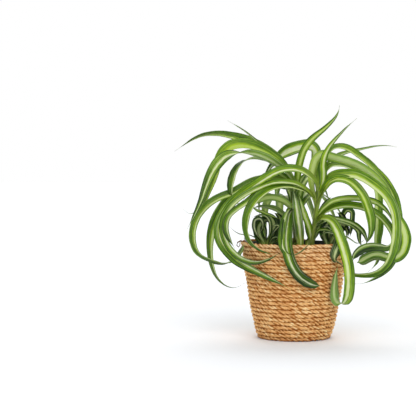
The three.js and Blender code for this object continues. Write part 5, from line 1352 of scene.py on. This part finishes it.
def add_blade(skin, blade, points, tilts, away, seed):
    """One leaf: a channelled, slightly rippled blade along its curve."""
    shares = stations(points)
    centre, along = catmull_rom(points, shares)
    sideways = unit(np.cross(along, away))
    facing = np.cross(along, sideways)
    tilt = np.radians(np.interp(shares * (len(tilts) - 1), range(len(tilts)), tilts))[:, None]
    normal = sideways * blade["side"] * np.cos(tilt) + facing * np.sin(tilt)
    across = np.cross(along, normal)
    half = blade_width(blade, shares) / 2
    run = run_along(centre)
    place, face = section()
    rise = blade_rise(half, place, face, run, shares, seed)
    rings = centre[:, None] + across[:, None] * np.outer(half, place)[:, :, None]
    rings = rings + normal[:, None] * rise[:, :, None]
    uvs = np.zeros((len(shares), len(place) + 1, 2))
    uvs[:, :-1, 0] = (place + 1) / 2
    uvs[:, :, 1] = run[:, None] / UV_LENGTH + seed * LEAF_GRAIN_STEP
    far_margin = len(HALF_SECTION) * 2
    under = np.tile(np.arange(len(place)) >= far_margin, len(shares) - 1)
    under = np.concatenate([under, [False, False]])
    looks = {key: blade[key] for key in ("tone", "stripe", "shift", "cream")}
    share = np.repeat(shares[:, None], len(place), axis=1)
    skin.add(rings, uvs, {"under": under, **looks}, {"share": share}, margins=(0, far_margin))


def bundle_points(crown, bearing, index, count):
    """The bundle's points for one leaf: each leaf lies a little further out than the one before."""
    out = crown["bundle_radius"] * (BUNDLE_CORE + (1 - BUNDLE_CORE) * index / count)
    return [(x + out * math.cos(bearing), y + out * math.sin(bearing), z) for x, y, z in crown["bundle"]]


def add_front_leaves(skin, crown, seed):
    """The leaves of a crown that the front view shows."""
    foot_x, foot_y = crown["bundle"][-1][:2]
    for index, blade in enumerate(crown["leaves"]):
        path = seen_from_front(blade["path"])
        bearing = math.atan2(path[HEADING_ROW][1] - foot_y, path[HEADING_ROW][0] - foot_x)
        base = bundle_points(crown, bearing, index, len(crown["leaves"]))
        tilts = [blade["path"][0][3]] * len(base) + [row[3] for row in blade["path"]]
        add_blade(skin, blade, base + path.tolist(), tilts, (0, 1, 0), seed + index)


def seeded_random(seed):
    """Repeatable random numbers from 0 to 1, the same as the part's."""
    state = seed
    while True:
        state = state * RANDOM_FACTOR % RANDOM_RANGE
        yield state / RANDOM_RANGE


def turned_about_z(point, turn):
    """The point turned about +Z."""
    x, y, z = point
    return x * math.cos(turn) - y * math.sin(turn), x * math.sin(turn) + y * math.cos(turn), z


def add_back_leaves(skin, crown, seed):
    """The back crown's leaves, each with its own reach, height, lean and looks."""
    draw = seeded_random(BACK_SEED)
    looks = random.Random(BACK_SEED)
    leaves = [(tier, bearing) for tier in BACK_TIERS for bearing in tier["bearings"]]
    for index, (tier, bearing) in enumerate(leaves):
        turn = math.radians(bearing)
        reach = 1 + BACK_LENGTH_SPREAD * (2 * next(draw) - 1)
        rise = 1 - BACK_LENGTH_SPREAD * next(draw)
        lean = BACK_LEAN * (next(draw) - 0.5)
        width = tier["width"] * (1 + BACK_WIDTH_SPREAD * (2 * next(draw) - 1))
        bottom = tier["path"][0][1]
        points = bundle_points(crown, turn, index, len(leaves))
        for row, (out, height, aside, _) in enumerate(tier["path"]):
            sway = aside + lean * (row / len(tier["path"])) ** 2
            x, y, z = turned_about_z((out * reach, sway, bottom + (height - bottom) * rise), turn)
            points.append((x + crown["foot"][0], y + crown["foot"][1], z))
        tilts = [0] * len(crown["bundle"]) + [row[3] for row in tier["path"]]
        drawn = {key: looks.uniform(*limits) for key, limits in BACK_LOOKS.items()}
        blade = leaf(RIGHT, width=width, path=[], **BACK_TAPER, **drawn)
        add_blade(skin, blade, points, tilts, turned_about_z((0, 1, 0), turn), seed + index)


def add_sheath(skin, crown):
    """The ribbed pale base that the crown's leaves come out of."""
    foot_x, foot_y = crown["foot"]
    top_x, top_y = crown["bundle"][0][:2]
    corners = turns_round(SHEATH_SIDES)
    rows = np.linspace(0, 1, SHEATH_ROWS)
    narrowed = crown["bundle_radius"] + SHEATH_LIP - crown["radius"]
    size = crown["radius"] + narrowed * smoothstep(SHEATH_FOOT_SHARE, 1, rows)
    ribs = 1 + SHEATH_RIB * np.abs(np.sin(corners * SHEATH_RIB_RATE)) - SHEATH_RIB_SINK
    height = soil_height(foot_x, foot_y) - SHEATH_DEPTH + rows * (SHEATH_DEPTH + SHEATH_RISE)
    lean = smoothstep(SHEATH_LEAN_START, 1, rows)
    middle = np.stack([foot_x + (top_x - foot_x) * lean, foot_y + (top_y - foot_y) * lean, height], axis=1)
    flat = level_vectors(corners) * ribs[:, None]
    rings = middle[:, None] + flat * size[:, None, None]
    uvs = round_uvs(SHEATH_SIDES, height / UV_LENGTH)
    skin.add(rings, uvs, SHEATH_LOOKS, {"share": np.zeros(rings.shape[:2])})


def make_plant():
    """Each crown's leaves and base, in place of its node."""
    materials = {slot: leaf_material(slot) for slot in LEAF_PALETTES}
    for index, (name, crown) in enumerate(CROWNS.items()):
        skin = Skin()
        add_leaves = add_front_leaves if crown["leaves"] else add_back_leaves
        add_leaves(skin, crown, CROWN_SEED_STEP * (index + 1))
        add_sheath(skin, crown)
        piece = skin.piece(name + "_leaves", materials[crown["slot"]], crown["slot"])
        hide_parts(name)


# ---- Studio ----

def make_floor():
    """A plain pale floor."""
    bpy.ops.mesh.primitive_plane_add(size=FLOOR_SIZE, location=(0, 0, 0))
    floor = bpy.context.object
    floor.name = "studio_floor"
    floor.data.materials.append(grainy_material("pale_floor"))


def make_light():
    """Soft lights from the front and from behind, under a white sky that lights less than it shows."""
    world = bpy.data.worlds.new("studio")
    world.use_nodes = True
    nodes, links = world.node_tree.nodes, world.node_tree.links
    background = nodes["Background"]
    background.inputs["Color"].default_value = (1, 1, 1, 1)
    shown = nodes.new("ShaderNodeMapRange")
    shown.inputs["To Min"].default_value = AMBIENT_STRENGTH
    shown.inputs["To Max"].default_value = BACKDROP_STRENGTH
    links.new(nodes.new("ShaderNodeLightPath").outputs["Is Camera Ray"], shown.inputs["Value"])
    links.new(shown.outputs["Result"], background.inputs["Strength"])
    bpy.context.scene.world = world
    for name, strength, height, left, softness in SOFT_LIGHTS:
        data = bpy.data.lights.new(name, "SUN")
        data.energy = strength
        data.angle = math.radians(softness)
        light = bpy.data.objects.new(name, data)
        light.rotation_euler = (math.radians(90 - height), 0, math.radians(-left))
        bpy.context.scene.collection.objects.link(light)
    bpy.context.scene.view_settings.view_transform = "Standard"


def make_camera():
    """The camera, where the photograph was taken from."""
    data = bpy.data.cameras.new("camera")
    data.lens = CAMERA_LENS
    data.sensor_width = CAMERA_SENSOR
    camera = bpy.data.objects.new("camera", data)
    camera.location = (0, -EYE_DISTANCE * MM, EYE_HEIGHT * MM)
    camera.rotation_euler = (math.radians(90 - CAMERA_DOWN), 0, math.radians(CAMERA_LEFT))
    bpy.context.scene.collection.objects.link(camera)
    bpy.context.scene.camera = camera


make_camera()
make_light()
make_floor()
make_basket()
make_liner()
make_pot()
make_soil()
scatter_bits("bark_chips", BARK_COUNT, BARK_SIZE, grainy_material("bark"), BARK_SEED)
scatter_bits("perlite", PERLITE_COUNT, PERLITE_SIZE, grainy_material("perlite"), PERLITE_SEED)
make_plant()
